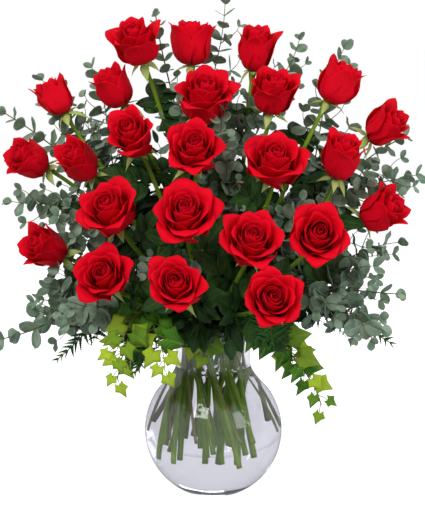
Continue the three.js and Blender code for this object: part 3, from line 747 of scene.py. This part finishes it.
def set_on_marks(name, marks, kind, material, slot, uneven=0.12, seed=1):
    """Makes a piece with a leaf of one kind on each mark."""
    tree = bpy.data.node_groups.get("Shapes on marks") or marks_tree()
    cloud = bpy.data.meshes.new(name + "_marks")
    places, outs, faces, sizes, shares = zip(*marks)
    cloud.from_pydata(places, [], [])
    for key, vectors in (("out", outs), ("face", faces)):
        layer = cloud.attributes.new(key, "FLOAT_VECTOR", "POINT")
        layer.data.foreach_set("vector", [c for v in vectors for c in v])
    for key, numbers in (("size", sizes), ("share", shares)):
        cloud.attributes.new(key, "FLOAT", "POINT").data.foreach_set("value", numbers)
    host = linked(name + "_host", cloud)
    modifier = host.modifiers.new("Leaves", "NODES")
    modifier.node_group = tree
    wanted = {
        "Shapes": bpy.data.collections.get(kind + "_shapes") or leaf_family(kind),
        "Size": 1.0,
        "Uneven sizes": uneven,
        "Seed": seed,
        "Finish": material,
    }
    for item in tree.interface.items_tree:
        if item.in_out == "INPUT" and item.name in wanted:
            modifier[item.identifier] = wanted[item.name]
    graph = bpy.context.evaluated_depsgraph_get()
    mesh = bpy.data.meshes.new_from_object(host.evaluated_get(graph))
    mesh.name = name
    host.modifiers.remove(modifier)
    bpy.data.objects.remove(host)
    return finish_piece(name, mesh, material, slot)


# ---- Materials ----


def new_group(name, inputs, outputs):
    group = bpy.data.node_groups.new(name, "ShaderNodeTree")
    for socket, kind, value in inputs:
        made = group.interface.new_socket(socket, in_out="INPUT", socket_type="NodeSocket" + kind)
        made.default_value = value
    for socket, kind in outputs:
        group.interface.new_socket(socket, in_out="OUTPUT", socket_type="NodeSocket" + kind)
    return group, group.nodes.new("NodeGroupInput").outputs


def mix_colours(tree, share, a, b):
    """A mix of two colours, each a socket or plain numbers."""
    mix = node(tree, "ShaderNodeMix", {0: share}, data_type="RGBA")
    for socket, value in ((mix.inputs[6], a), (mix.inputs[7], b)):
        if isinstance(value, bpy.types.NodeSocket):
            tree.links.new(value, socket)
        else:
            socket.default_value = rgba(value)
    return mix.outputs[2]


def ramp(tree, value, start, end):
    """A grey ramp from one (place, level) to the other."""
    made = node(tree, "ShaderNodeValToRGB", {"Fac": value})
    for element, (place, level) in zip(made.color_ramp.elements, (start, end)):
        element.position = place
        element.color = (level, level, level, 1)
    return made.outputs["Color"]


def mottle_group():
    """Soft patches of two colours over a surface, with a fine grain for the bump."""
    done = bpy.data.node_groups.get("Mottle")
    if done:
        return done
    group, given = new_group(
        "Mottle",
        [
            ("Light", "Color", (0.5, 0.5, 0.5, 1)), ("Dark", "Color", (0.1, 0.1, 0.1, 1)),
            ("Patch scale", "Float", 60.0), ("Grain scale", "Float", 900.0),
        ],
        [("Colour", "Color"), ("Grain", "Float")],
    )
    place = node(group, "ShaderNodeTexCoord").outputs["Object"]

    def noise(scale, detail):
        inputs = {"Vector": place, "Scale": given[scale], "Detail": detail}
        return node(group, "ShaderNodeTexNoise", inputs).outputs["Fac"]

    share = ramp(group, noise("Patch scale", 3), (0.35, 0.0), (0.65, 1.0))
    colour = mix_colours(group, share, given["Light"], given["Dark"])
    node(group, "NodeGroupOutput", {"Colour": colour, "Grain": noise("Grain scale", 4)})
    return group


def veins_group():
    """A midrib and side veins on a leaf, from its UV: x across it and y from stalk to tip."""
    done = bpy.data.node_groups.get("Leaf veins")
    if done:
        return done
    group, given = new_group(
        "Leaf veins",
        [("Pairs", "Float", 7.0), ("Slant", "Float", 0.35)],
        [("Veins", "Float"), ("Edge", "Float")],
    )
    uv = node(group, "ShaderNodeUVMap", uv_map="UVMap").outputs["UV"]
    split = node(group, "ShaderNodeSeparateXYZ", {0: uv}).outputs

    def step(operation, *values, clamp=False):
        return math_node(group, operation, *values, clamp=clamp)

    off = step("ABSOLUTE", step("SUBTRACT", split["X"], 0.5))
    rib = step("SUBTRACT", 1.0, step("MULTIPLY", off, 22.0), clamp=True)
    climbed = step("SUBTRACT", split["Y"], step("MULTIPLY", off, given["Slant"]))
    turns = step("MULTIPLY", step("MULTIPLY", climbed, given["Pairs"]), 2 * math.pi)
    side = step("POWER", step("MAXIMUM", step("SINE", turns), 0.0), 9.0)
    veins = step("MAXIMUM", rib, step("MULTIPLY", side, 0.6))
    edge = step("POWER", step("MULTIPLY", off, 2.0), 4.0)
    node(group, "NodeGroupOutput", {"Veins": veins, "Edge": edge})
    return group


def new_material(name):
    material = bpy.data.materials.new(name)
    material.use_nodes = True
    material.node_tree.nodes.clear()
    return material, material.node_tree


def to_surface(tree, shader, other=None, share=0.0):
    """Sends the shader to the surface, with a share of another mixed in if there is one."""
    if other:
        parts = {0: share, 1: shader.outputs[0], 2: other.outputs[0]}
        shader = node(tree, "ShaderNodeMixShader", parts)
    node(tree, "ShaderNodeOutputMaterial", {"Surface": shader.outputs[0]})


def let_through(tree, colour):
    """Light that comes through a thin leaf or petal."""
    return node(tree, "ShaderNodeBsdfTranslucent", {"Color": rgba(colour)})


def bump(tree, height, strength, distance):
    inputs = {"Height": height, "Strength": strength, "Distance": distance}
    return node(tree, "ShaderNodeBump", inputs).outputs["Normal"]


def mottle(tree, light, dark, scale):
    inputs = {"Light": rgba(light), "Dark": rgba(dark), "Patch scale": scale}
    return node(tree, "ShaderNodeGroup", inputs, node_tree=mottle_group()).outputs


def attribute(tree, name):
    return node(tree, "ShaderNodeAttribute", attribute_name=name).outputs["Fac"]


def streaks(tree, stretch, scale):
    """Noise drawn out along the UV's length."""
    uv = node(tree, "ShaderNodeUVMap", uv_map="UVMap").outputs["UV"]
    drawn = node(tree, "ShaderNodeMapping", {"Vector": uv, "Scale": stretch}).outputs["Vector"]
    return node(tree, "ShaderNodeTexNoise", {"Vector": drawn, "Scale": scale}).outputs["Fac"]


def petal_material(colour):
    """Velvety red with fine veins; painted shade darkens petal feet and the bloom's heart."""
    material, tree = new_material("Red petal")
    red, green, blue = colour
    # A darker red, used for the painted shade and for the veins.
    shade_and_vein_red = (red * 0.55, green * 0.5, blue * 0.7)
    patches = mottle(tree, colour, [c * 0.86 for c in colour], 45)
    uv = node(tree, "ShaderNodeUVMap", uv_map="UVMap").outputs["UV"]
    up = node(tree, "ShaderNodeSeparateXYZ", {0: uv}).outputs["Y"]
    # Painted shade: darker towards each petal's foot, deep inside the bloom.
    foot = ramp(tree, up, (0.0, 1.0), (0.55, 0.0))
    # Painted shade: the inner petals, in the heart of the bloom, are darker.
    heart = ramp(tree, attribute(tree, "depth"), (0.05, 0.65), (0.8, 0.0))
    veins = streaks(tree, (34, 2.2, 1), 1.0)
    shaded = mix_colours(tree, foot, patches["Colour"], shade_and_vein_red)
    shaded = mix_colours(tree, heart, shaded, shade_and_vein_red)
    shaded = mix_colours(tree, math_node(tree, "MULTIPLY", veins, 0.22), shaded, shade_and_vein_red)
    inputs = {
        "Base Color": shaded, "Roughness": 0.5, "Specular IOR Level": 0.1, "Sheen Weight": 0.03,
        "Sheen Roughness": 0.4, "Sheen Tint": (1.0, 0.25, 0.3, 1),
        "Normal": bump(tree, veins, 0.5, 0.0009),
    }
    shader = node(tree, "ShaderNodeBsdfPrincipled", inputs)
    to_surface(tree, shader, let_through(tree, (red * 1.1, green, blue)), 0.18)
    return material


def leaf_material(
    name, light, dark, vein, rough, bloom=0.0, pairs=7.0, thin=0.22, gloss=0.35, young=None
):
    """A leaf's finish. Bloom is the pale waxy film, vein the colour of its ribs, and young the
    colour of the leaves nearest the tip of a shoot."""
    material, tree = new_material(name)
    patches = mottle(tree, light, dark, 70)
    veins = node(tree, "ShaderNodeGroup", {"Pairs": pairs}, node_tree=veins_group()).outputs
    tone = attribute(tree, "tone")
    toned = mix_colours(tree, tone, patches["Colour"], dark)
    toned = mix_colours(tree, 0.6, patches["Colour"], toned)
    if young:
        nearer = math_node(tree, "ADD", attribute(tree, "share"), tone)
        nearer = math_node(tree, "SUBTRACT", nearer, 0.95)
        nearer = math_node(tree, "MULTIPLY", nearer, 1.8, clamp=True)
        toned = mix_colours(tree, nearer, toned, young)
    ribbed = mix_colours(tree, math_node(tree, "MULTIPLY", veins["Veins"], 0.55), toned, vein)
    edged = mix_colours(tree, math_node(tree, "MULTIPLY", veins["Edge"], bloom), ribbed, light)
    relief = math_node(tree, "SUBTRACT", patches["Grain"], veins["Veins"])
    inputs = {
        "Base Color": edged, "Roughness": rough, "Specular IOR Level": gloss,
        "Normal": bump(tree, relief, 0.4, 0.0008),
    }
    shader = node(tree, "ShaderNodeBsdfPrincipled", inputs)
    to_surface(tree, shader, let_through(tree, [min(1, c * 1.2) for c in light]), thin)
    return material


def bark_material(name, light, dark, rough):
    """Green bark with long pale streaks and a fine grain."""
    material, tree = new_material(name)
    patches = mottle(tree, light, dark, 26)
    streak = ramp(tree, streaks(tree, (9, 5, 1), 1.6), (0.45, 0.0), (0.7, 0.6))
    lit = [min(1, c * 1.35) for c in light]
    inputs = {
        "Base Color": mix_colours(tree, streak, patches["Colour"], lit),
        "Roughness": rough,
        "Specular IOR Level": 0.3,
        "Normal": bump(tree, patches["Grain"], 0.3, 0.0006),
    }
    to_surface(tree, node(tree, "ShaderNodeBsdfPrincipled", inputs))
    return material


def clear_material(name, tint, index):
    """Glass or water. Light that only falls through it passes straight on."""
    material, tree = new_material(name)
    inputs = {"Base Color": rgba(tint), "Roughness": 0.0, "IOR": index, "Transmission Weight": 1.0}
    shader = node(tree, "ShaderNodeBsdfPrincipled", inputs)
    pale = [0.5 + 0.5 * c for c in tint]
    clear = node(tree, "ShaderNodeBsdfTransparent", {"Color": rgba(pale)})
    path = node(tree, "ShaderNodeLightPath").outputs
    passing = math_node(tree, "MAXIMUM", path["Is Shadow Ray"], path["Is Diffuse Ray"])
    to_surface(tree, shader, clear, passing)
    return material


# ---- Foliage ----


# How each kind of foliage holds its leaves: the turn from one to the next and the angle to the
# shoot in degrees, how far they hang, how much smaller they get towards the tip, how far they face
# outwards, and whether they grow in pairs.
HABITS = {
    "silver_dollar": {
        "spin": 90, "angle": 66, "hang": 0.15, "taper": 0.5, "facing": 0.9, "pair": True,
    },
    "salal": {"spin": 137, "angle": 50, "hang": 0.25, "taper": 0.6, "facing": 0.5, "pair": False},
    "fern": {"spin": 0, "angle": 62, "hang": 0.1, "taper": 0.8, "facing": 2.0, "pair": True},
    "ivy": {"spin": 0, "angle": 75, "hang": 0.7, "taper": 0.45, "facing": 3.0, "pair": False},
}

SPRIG_SLOTS = {
    "silver_dollar": "silver_leaf", "salal": "salal_leaf", "fern": "fern_leaf", "ivy": "ivy_leaf",
}

# Side twigs, by kind: the shares of a shoot where they leave it, their length, the size of their
# leaves against the shoot's, and whether they grow in pairs.
TWIGS = {
    "silver_dollar": {
        "shares": (0.4, 0.5, 0.6, 0.7, 0.8), "length": 60, "size": 0.75, "pair": False,
    },
    "salal": {"shares": (0.5, 0.75), "length": 62, "size": 0.8, "pair": True},
    "fern": {"shares": (0.35, 0.47, 0.59, 0.71, 0.83), "length": 50, "size": 0.42, "pair": True},
}
IVY_STALK = 11  # length
SLOPE = Vector((0, -1, 0.3))  # leaves and twigs that lie flat lie in the plane across this


def side_twigs(line, kind, rng):
    """Short curved lines that leave a shoot on either side, shorter towards its tip."""
    twigs = []
    if kind not in TWIGS:
        return twigs
    habit = TWIGS[kind]
    for i, share in enumerate(habit["shares"]):
        place, forward = at_share(line, share + rng.uniform(-0.03, 0.03))
        side = forward.cross(SLOPE).normalized()
        if kind == "silver_dollar":
            side = Quaternion(forward, rng.uniform(-0.8, 0.8)) @ side
        for sign in (1, -1) if habit["pair"] else ((-1) ** i,):
            length = habit["length"] * (1.25 - share) * rng.uniform(0.85, 1.15)
            heading = (side * sign + forward * 1.1).normalized()
            end = place + heading * length + forward * length * 0.15
            bend = place + heading * length * 0.4, end - forward * length * 0.3
            twigs.append(cubic(place, *bend, end, 8))
    return twigs


def leaf_marks(marks, line, first, sprig, rng, smaller=1.0):
    """Leaves in pairs, or one by one, along the last part of a line, smaller towards its tip.
    Returns the stalks of the leaves that have long ones."""
    kind = sprig["kind"]
    habit = HABITS[kind]
    gap = sprig["gap"] * (1 + smaller) / 2
    count = max(2, int(length_of(line) * (1 - first) / gap))
    curve = 1.0 if kind == "fern" else 2.2
    stalks = []
    for i in range(count):
        share = i / (count - 1)
        place, forward = at_share(line, first + (0.995 - first) * share)
        side = forward.cross(Vector((0, 0, 1)) if habit["spin"] else SLOPE)
        if side.length < 0.2:
            side = forward.cross(Vector((0, 1, 0)))
        side = Quaternion(forward, math.radians(habit["spin"]) * i) @ side.normalized()
        outward = Vector((place.x, place.y, 0)).normalized() * 0.5 + Vector((0, -0.8, 0.35))
        for sign in (1, -1) if habit["pair"] else ((-1) ** i,):
            a = math.radians(habit["angle"] - 28 * share**3 + rng.uniform(-12, 12))
            out = side * (sign * math.sin(a)) + forward * math.cos(a)
            out = (out + Vector((0, 0, -habit["hang"] * rng.uniform(0.3, 1)))).normalized()
            face = forward + outward * habit["facing"]
            face += Vector((rng.uniform(-0.4, 0.4) for _ in range(3)))
            face -= out * face.dot(out)
            foot = place
            if kind == "ivy":
                foot = place + (out + outward * 0.4) * IVY_STALK * rng.uniform(0.6, 1.3)
                stalks.append([place, place.lerp(foot, 0.5) + Vector((0, 0, 1)), foot])
            size = sprig["size"] * smaller * (1 - habit["taper"] * share**curve)
            add_mark(marks, foot, out, face, size, share)
    return stalks


class ROSES_OT_foliage(bpy.types.Operator):
    """Make the sprigs of eucalyptus, salal, fern and ivy"""

    bl_idname = "roses.foliage"
    bl_label = "Foliage"

    def execute(self, context):
        settings = context.scene.roses_foliage
        finishes = {
            "silver_dollar": (
                leaf_material(
                    "Silver leaf", settings.silver, (0.11, 0.20, 0.12), (0.46, 0.54, 0.40), 0.55,
                    bloom=0.5, pairs=5.0,
                ),
                bark_material("Brown twig", (0.20, 0.17, 0.08), (0.10, 0.10, 0.04), 0.6),
            ),
            "salal": (
                leaf_material(
                    "Salal leaf", (0.035, 0.10, 0.025), (0.012, 0.045, 0.015), (0.10, 0.18, 0.05),
                    0.32,
                ),
                bark_material("Dark twig", (0.13, 0.10, 0.05), (0.07, 0.06, 0.03), 0.6),
            ),
            "fern": (
                leaf_material(
                    "Fern leaf", (0.03, 0.13, 0.02), (0.012, 0.06, 0.012), (0.06, 0.18, 0.03), 0.4
                ),
                bark_material("Fern stalk", (0.10, 0.15, 0.04), (0.06, 0.09, 0.03), 0.5),
            ),
            "ivy": (
                leaf_material(
                    "Ivy leaf", (0.11, 0.34, 0.015), (0.035, 0.16, 0.01), (0.40, 0.55, 0.12), 0.38,
                    bloom=0.3, pairs=4.0, thin=0.3, young=settings.ivy,
                ),
                bark_material("Ivy runner", (0.20, 0.26, 0.05), (0.12, 0.12, 0.04), 0.5),
            ),
        }
        for number, (name, sprig) in enumerate(SPRIGS.items()):
            kind = sprig["kind"]
            leaf, bark = finishes[kind]
            slot = SPRIG_SLOTS[kind]
            rng = random.Random(number + 40)
            lines = [rounded(spaced(line, 16), 4) for line in sprig_lines(sprig)]
            shells = []
            marks = []
            for which, line in enumerate(lines):
                thick = SPRIG_STEM * (0.62 if which else 1)
                bare = 0.1 if which else sprig["shoots"][0][-1]
                radii = [thick * (1 - 0.6 * i / (len(line) - 1)) for i in range(len(line))]
                shells.append(tube_shell(line, radii, 8))
                stalks = leaf_marks(marks, line, bare, sprig, rng)
                shells += [tube_shell(stalk, [0.6, 0.5, 0.5], 5) for stalk in stalks]
                for twig in side_twigs(line, kind, rng):
                    shells.append(tube_shell(twig, [0.8 - 0.06 * i for i in range(len(twig))], 5))
                    leaf_marks(marks, twig, 0.2, sprig, rng, TWIGS[kind]["size"])
            mesh = mesh_from(name + "_shoots", *joined(shells))
            finish_piece(name + "_shoots", mesh, bark, slot, name)
            set_on_marks(name + "_leaves", marks, kind, leaf, slot, 0.16, number + 1)
        return {"FINISHED"}


# ---- Roses ----


def compound_leaf(marks, place, forward, spin, rng):
    """A leaf has a leaflet at the end of its stalk and two pairs behind it."""
    side = forward.cross(Vector((0, 0, 1))).normalized()
    side = Quaternion(forward, spin) @ side
    stalk = (side * 0.8 + forward * 0.6).normalized()
    face = (forward + Vector((0, -0.7, 0.2))).normalized()
    across = stalk.cross(face).normalized()
    face = across.cross(stalk)
    size = rng.uniform(34, 46)
    add_mark(marks, place + stalk * LEAF_STALK, stalk, face, size)
    for reach, share in LEAFLET_PAIRS:
        for sign in (1, -1):
            out = stalk * 0.55 + across * sign
            add_mark(marks, place + stalk * reach, out, face, size * share)


class ROSES_OT_blooms(bpy.types.Operator):
    """Make every bloom from whorls of curled petals"""

    bl_idname = "roses.blooms"
    bl_label = "Blooms"

    def execute(self, context):
        settings = context.scene.roses_blooms
        material = petal_material(settings.red)
        for rose in ROSES:
            mesh = bloom_mesh(rose, rose_facts(rose), settings)
            finish_piece(rose + "_petals", mesh, material, "petals", rose + "_bloom")
        return {"FINISHED"}


class ROSES_OT_stems(bpy.types.Operator):
    """Make the rose stems with their hips, sepals, thorns and leaves"""

    bl_idname = "roses.stems"
    bl_label = "Rose stems"

    def execute(self, context):
        settings = context.scene.roses_stems
        dark = [c * 0.55 for c in settings.green]
        bark = bark_material("Green bark", settings.green, dark, 0.42)
        sepal = leaf_material(
            "Sepal", (0.62, 0.70, 0.26), (0.38, 0.50, 0.12), (0.72, 0.76, 0.42), 0.5
        )
        leaf = leaf_material(
            "Rose leaf", (0.045, 0.13, 0.02), (0.012, 0.05, 0.012), (0.12, 0.22, 0.06), 0.36,
            pairs=8.0,
        )
        sepals, thorns, leaves = [], [], []
        for rose in ROSES:
            facts = rose_facts(rose)
            line, axis, base = facts["line"], facts["axis"], facts["base"]
            rng = random.Random(facts["seed"] + 100)
            line = spaced(line, 60)
            whole = length_of(line)
            radii = []
            for i in range(len(line)):
                left = whole * (1 - i / (len(line) - 1))
                hip = HIP_SWELL * math.exp(-((left - HIP_DEPTH) / HIP_LENGTH) ** 2)
                radii.append(ROSE_STEM * (1 - STEM_TAPER * i / len(line)) + hip)
            mesh = mesh_from(rose + "_bark", *tube_shell(line, radii, 12))
            finish_piece(rose + "_bark", mesh, bark, "rose_stem", rose + "_stem")
            around = axis.orthogonal().normalized()
            for k in range(SEPALS):
                turn = math.radians(360 / SEPALS * k + rng.uniform(-12, 12))
                side = Quaternion(axis, turn) @ around
                lift = rng.uniform(-0.55, 0.5)
                out = side + axis * lift
                place = base - axis * 1.5 + side * 5.0
                add_mark(sepals, place, out, axis - side * lift, rng.uniform(17, 25))
            for k in range(THORNS):
                place, forward = at_share(line, 0.42 + 0.075 * k)
                side = forward.orthogonal().normalized()
                side = Quaternion(forward, LEAF_TURN * k + facts["seed"]) @ side
                at_bark = place + side * ROSE_STEM * 0.8
                add_mark(thorns, at_bark, side, forward, rng.uniform(4, 6))
            for k, place in enumerate(ROSE_LEAF_PLACES[: settings.leaves]):
                spin = LEAF_TURN * (k + facts["seed"])
                compound_leaf(leaves, *at_share(line, place / 12), spin, rng)
        set_on_marks("rose_sepals", sepals, "sepal", sepal, "rose_stem", 0.1, 3)
        set_on_marks("rose_thorns", thorns, "thorn", bark, "rose_stem", 0.1, 4)
        set_on_marks("rose_leaves", leaves, "rose_leaf", leaf, "rose_stem", 0.15, 5)
        return {"FINISHED"}


# ---- Vase and water ----


def wall(inset, start, count=18):
    """(radius, height) points up the vase's wall, inset from its outside, from the height start."""
    radius = BULB_RADIUS - inset
    low = math.asin((start - BULB_CENTRE) / radius)
    high = math.radians(SHOULDER_ANGLE)
    points = []
    for i in range(count):
        a = low + (high - low) * i / (count - 1)
        points.append(Vector((radius * math.cos(a), BULB_CENTRE + radius * math.sin(a), 0)))
    shoulder = points[-1]
    leave = Vector((-math.sin(high), math.cos(high), 0)) * WALL_BEND
    neck = Vector((NECK_RADIUS - inset, NECK_HEIGHT, 0))
    up = Vector((0, WALL_BEND, 0))
    rim = Vector((RIM_RADIUS - inset, RIM_HEIGHT, 0))
    flare = rim + Vector((-7, -16, 0))
    points += cubic(shoulder, shoulder + leave, neck - up, neck, count)[1:]
    points += cubic(neck, neck + up, flare, rim, count)[1:]
    return [(p.x, p.y) for p in points]


class ROSES_OT_vase(bpy.types.Operator):
    """Make the clear glass vase and the water in it"""

    bl_idname = "roses.vase"
    bl_label = "Vase and water"

    def execute(self, context):
        settings = context.scene.roses_vase
        glass = clear_material("Clear glass", settings.glass, 1.45)
        water = clear_material("Water", settings.water, 1.33)
        outside, inside = wall(0, 0), wall(GLASS, FLOOR)
        middle = RIM_RADIUS - GLASS / 2
        lip = [
            (middle + GLASS / 2 * math.cos(a), RIM_HEIGHT + GLASS / 3 * math.sin(a))
            for a in (math.pi * k / 8 for k in range(1, 8))
        ]
        profile = [(0, 0), *outside, *lip, *inside[::-1], (0, FLOOR)]
        mesh = mesh_from("vase_glass", *lathe_shell(profile, VASE_SEGMENTS))
        finish_piece("vase_glass", mesh, glass, "glass", "vase")
        wet = wall(GLASS - WATER_INTO_GLASS, FLOOR - WATER_INTO_GLASS)
        side = [p for p in wet if p[1] < WATER_LEVEL - 2]
        edge = side[-1][0] - 1.2
        climb = [(edge + 0.6, WATER_LEVEL + 0.6), (edge - 1.4, WATER_LEVEL + 0.1)]
        profile = [(0, FLOOR - WATER_INTO_GLASS), *side, *climb, (0, WATER_LEVEL)]
        mesh = mesh_from("vase_water", *lathe_shell(profile, VASE_SEGMENTS))
        finish_piece("vase_water", mesh, water, "water", "water")
        return {"FINISHED"}


# ---- Stage ----


def look_at(thing, place, aim):
    thing.location = place
    thing.rotation_euler = (Vector(aim) - Vector(place)).to_track_quat("-Z", "Y").to_euler()


def area_light(name, place, size, power):
    light = bpy.data.lights.new(name, "AREA")
    light.size = size
    light.energy = power
    lamp = linked(name, light)
    lamp.visible_glossy = False
    look_at(lamp, place, (0, 0, 0.35))


def seen_straight(tree):
    """One where the camera sees a surface, itself or through glass, and nothing where the surface
    lights others."""
    path = node(tree, "ShaderNodeLightPath").outputs
    return math_node(tree, "MAXIMUM", path["Is Camera Ray"], path["Is Transmission Ray"])


def floor_material(fill):
    """White to the camera. It lights the glass and the leaves as a dimmer grey."""
    material, tree = new_material("Pale floor")
    patches = mottle(tree, (0.94, 0.94, 0.94), (0.92, 0.92, 0.925), 2)
    from_camera = node(tree, "ShaderNodeLightPath").outputs["Is Camera Ray"]
    inputs = {
        "Base Color": mix_colours(tree, from_camera, (0.45, 0.45, 0.46), patches["Colour"]),
        "Roughness": 0.8,
        "Specular IOR Level": 0.1,
        "Emission Color": seen_straight(tree),
        "Emission Strength": 1 - 0.93 * fill,
    }
    to_surface(tree, node(tree, "ShaderNodeBsdfPrincipled", inputs))
    return material


class ROSES_OT_stage(bpy.types.Operator):
    """Make the floor, the soft studio light and the camera"""

    bl_idname = "roses.stage"
    bl_label = "Stage"

    def execute(self, context):
        settings = context.scene.roses_stage
        scene = context.scene
        mesh = bpy.data.meshes.new("floor")
        far = 60.0
        corners = [(-far, -far, 0), (far, -far, 0), (far, far, 0), (-far, far, 0)]
        mesh.from_pydata(corners, [], [(0, 1, 2, 3)])
        mesh.materials.append(floor_material(settings.fill))
        linked("floor", mesh)

        world = bpy.data.worlds.new("Studio")
        world.use_nodes = True
        tree = world.node_tree
        back = tree.nodes["Background"]
        back.inputs["Color"].default_value = (1, 1, 1, 1)
        seen = math_node(tree, "MULTIPLY", seen_straight(tree), 1.03 - settings.fill)
        strength = math_node(tree, "ADD", seen, settings.fill)
        tree.links.new(strength, back.inputs["Strength"])
        scene.world = world
        area_light("key", (-0.9, -1.9, 1.9), 1.2, settings.key)
        area_light("side", (1.6, -1.2, 0.9), 1.0, settings.key * 0.35)
        area_light("back", (0.3, 1.8, 1.9), 1.4, settings.key * 0.5)

        lens = bpy.data.cameras.new("camera")
        lens.sensor_fit = "VERTICAL"
        lens.sensor_height = 36.0
        lens.lens = settings.lens
        lens.clip_end = 200
        scene.camera = linked("camera", lens)
        height = math.radians(settings.elevation)
        aim = Vector((-0.001, 0, 0.309))
        away = Vector((0, -math.cos(height), math.sin(height)))
        look_at(scene.camera, aim + away * settings.distance, aim)
        scene.view_settings.view_transform = "Standard"
        return {"FINISHED"}


# ---- Settings, panel and main ----


def number_setting(name, description, default, **limits):
    return bpy.props.FloatProperty(name=name, description=description, default=default, **limits)


def count_setting(name, description, default, low, high):
    return bpy.props.IntProperty(
        name=name, description=description, default=default, min=low, max=high
    )


def colour_setting(name, description, default):
    return bpy.props.FloatVectorProperty(
        name=name, description=description, default=default, subtype="COLOR", min=0, max=1
    )


class BloomSettings(bpy.types.PropertyGroup):
    petals: count_setting("Petals", "Petals in a bloom of middling openness", 32, 12, 60)
    curl: number_setting("Curl", "Degrees a bud's outside petals curl in by, or out below 0", -20.0)
    ripple: number_setting("Ripple", "Waves of the petals' edges, as a share of the radius", 0.042)
    red: colour_setting("Red", "Colour of a lit petal", (0.90, 0.0036, 0.021))


class StemSettings(bpy.types.PropertyGroup):
    leaves: count_setting("Leaves", "Compound leaves on each rose stem", 5, 0, 5)
    green: colour_setting("Green", "Colour of the bark", (0.20, 0.35, 0.025))


class FoliageSettings(bpy.types.PropertyGroup):
    silver: colour_setting("Silver", "Eucalyptus leaves", (0.39, 0.50, 0.39))
    ivy: colour_setting("Ivy", "Young ivy leaves", (0.58, 0.78, 0.04))


class VaseSettings(bpy.types.PropertyGroup):
    glass: colour_setting("Glass", "Tint of the glass", (0.93, 0.93, 0.95))
    water: colour_setting("Water", "Tint of the water", (0.80, 0.80, 0.86))


class StageSettings(bpy.types.PropertyGroup):
    fill: number_setting("Fill", "Strength of the light from all round", 0.45, min=0, max=1)
    key: number_setting("Key", "Power of the main light", 42.0, min=0, unit="POWER")
    elevation: number_setting("Elevation", "Degrees the camera looks down by", 7.0)
    distance: number_setting("Distance", "From the camera to the arrangement", 2.4, unit="LENGTH")
    lens: number_setting("Lens", "Focal length of the camera in millimetres", 129.0)


class ROSES_PT_panel(bpy.types.Panel):
    """Lists the pieces of the arrangement and their settings"""

    bl_label = "Rose arrangement"
    bl_idname = "ROSES_PT_panel"
    bl_space_type = "VIEW_3D"
    bl_region_type = "UI"
    bl_category = "Roses"

    def draw(self, context):
        for operator, group in PARTS:
            box = self.layout.box()
            box.operator(operator.bl_idname)
            settings = getattr(context.scene, group)
            for key in settings.bl_rna.properties.keys():
                if key not in {"rna_type", "name"}:
                    box.prop(settings, key)


PARTS = (
    (ROSES_OT_blooms, "roses_blooms"),
    (ROSES_OT_stems, "roses_stems"),
    (ROSES_OT_foliage, "roses_foliage"),
    (ROSES_OT_vase, "roses_vase"),
    (ROSES_OT_stage, "roses_stage"),
)

SETTINGS = {
    "roses_blooms": BloomSettings,
    "roses_stems": StemSettings,
    "roses_foliage": FoliageSettings,
    "roses_vase": VaseSettings,
    "roses_stage": StageSettings,
}


def register():
    for name, group in SETTINGS.items():
        bpy.utils.register_class(group)
        setattr(bpy.types.Scene, name, bpy.props.PointerProperty(type=group))
    for operator, _ in PARTS:
        bpy.utils.register_class(operator)
    bpy.utils.register_class(ROSES_PT_panel)


def unregister():
    bpy.utils.unregister_class(ROSES_PT_panel)
    for operator, _ in reversed(PARTS):
        bpy.utils.unregister_class(operator)
    for name, group in reversed(SETTINGS.items()):
        delattr(bpy.types.Scene, name)
        bpy.utils.unregister_class(group)


def main():
    register()
    bpy.ops.roses.blooms()
    bpy.ops.roses.stems()
    bpy.ops.roses.foliage()
    bpy.ops.roses.vase()
    bpy.ops.roses.stage()


if __name__ == "__main__":
    main()
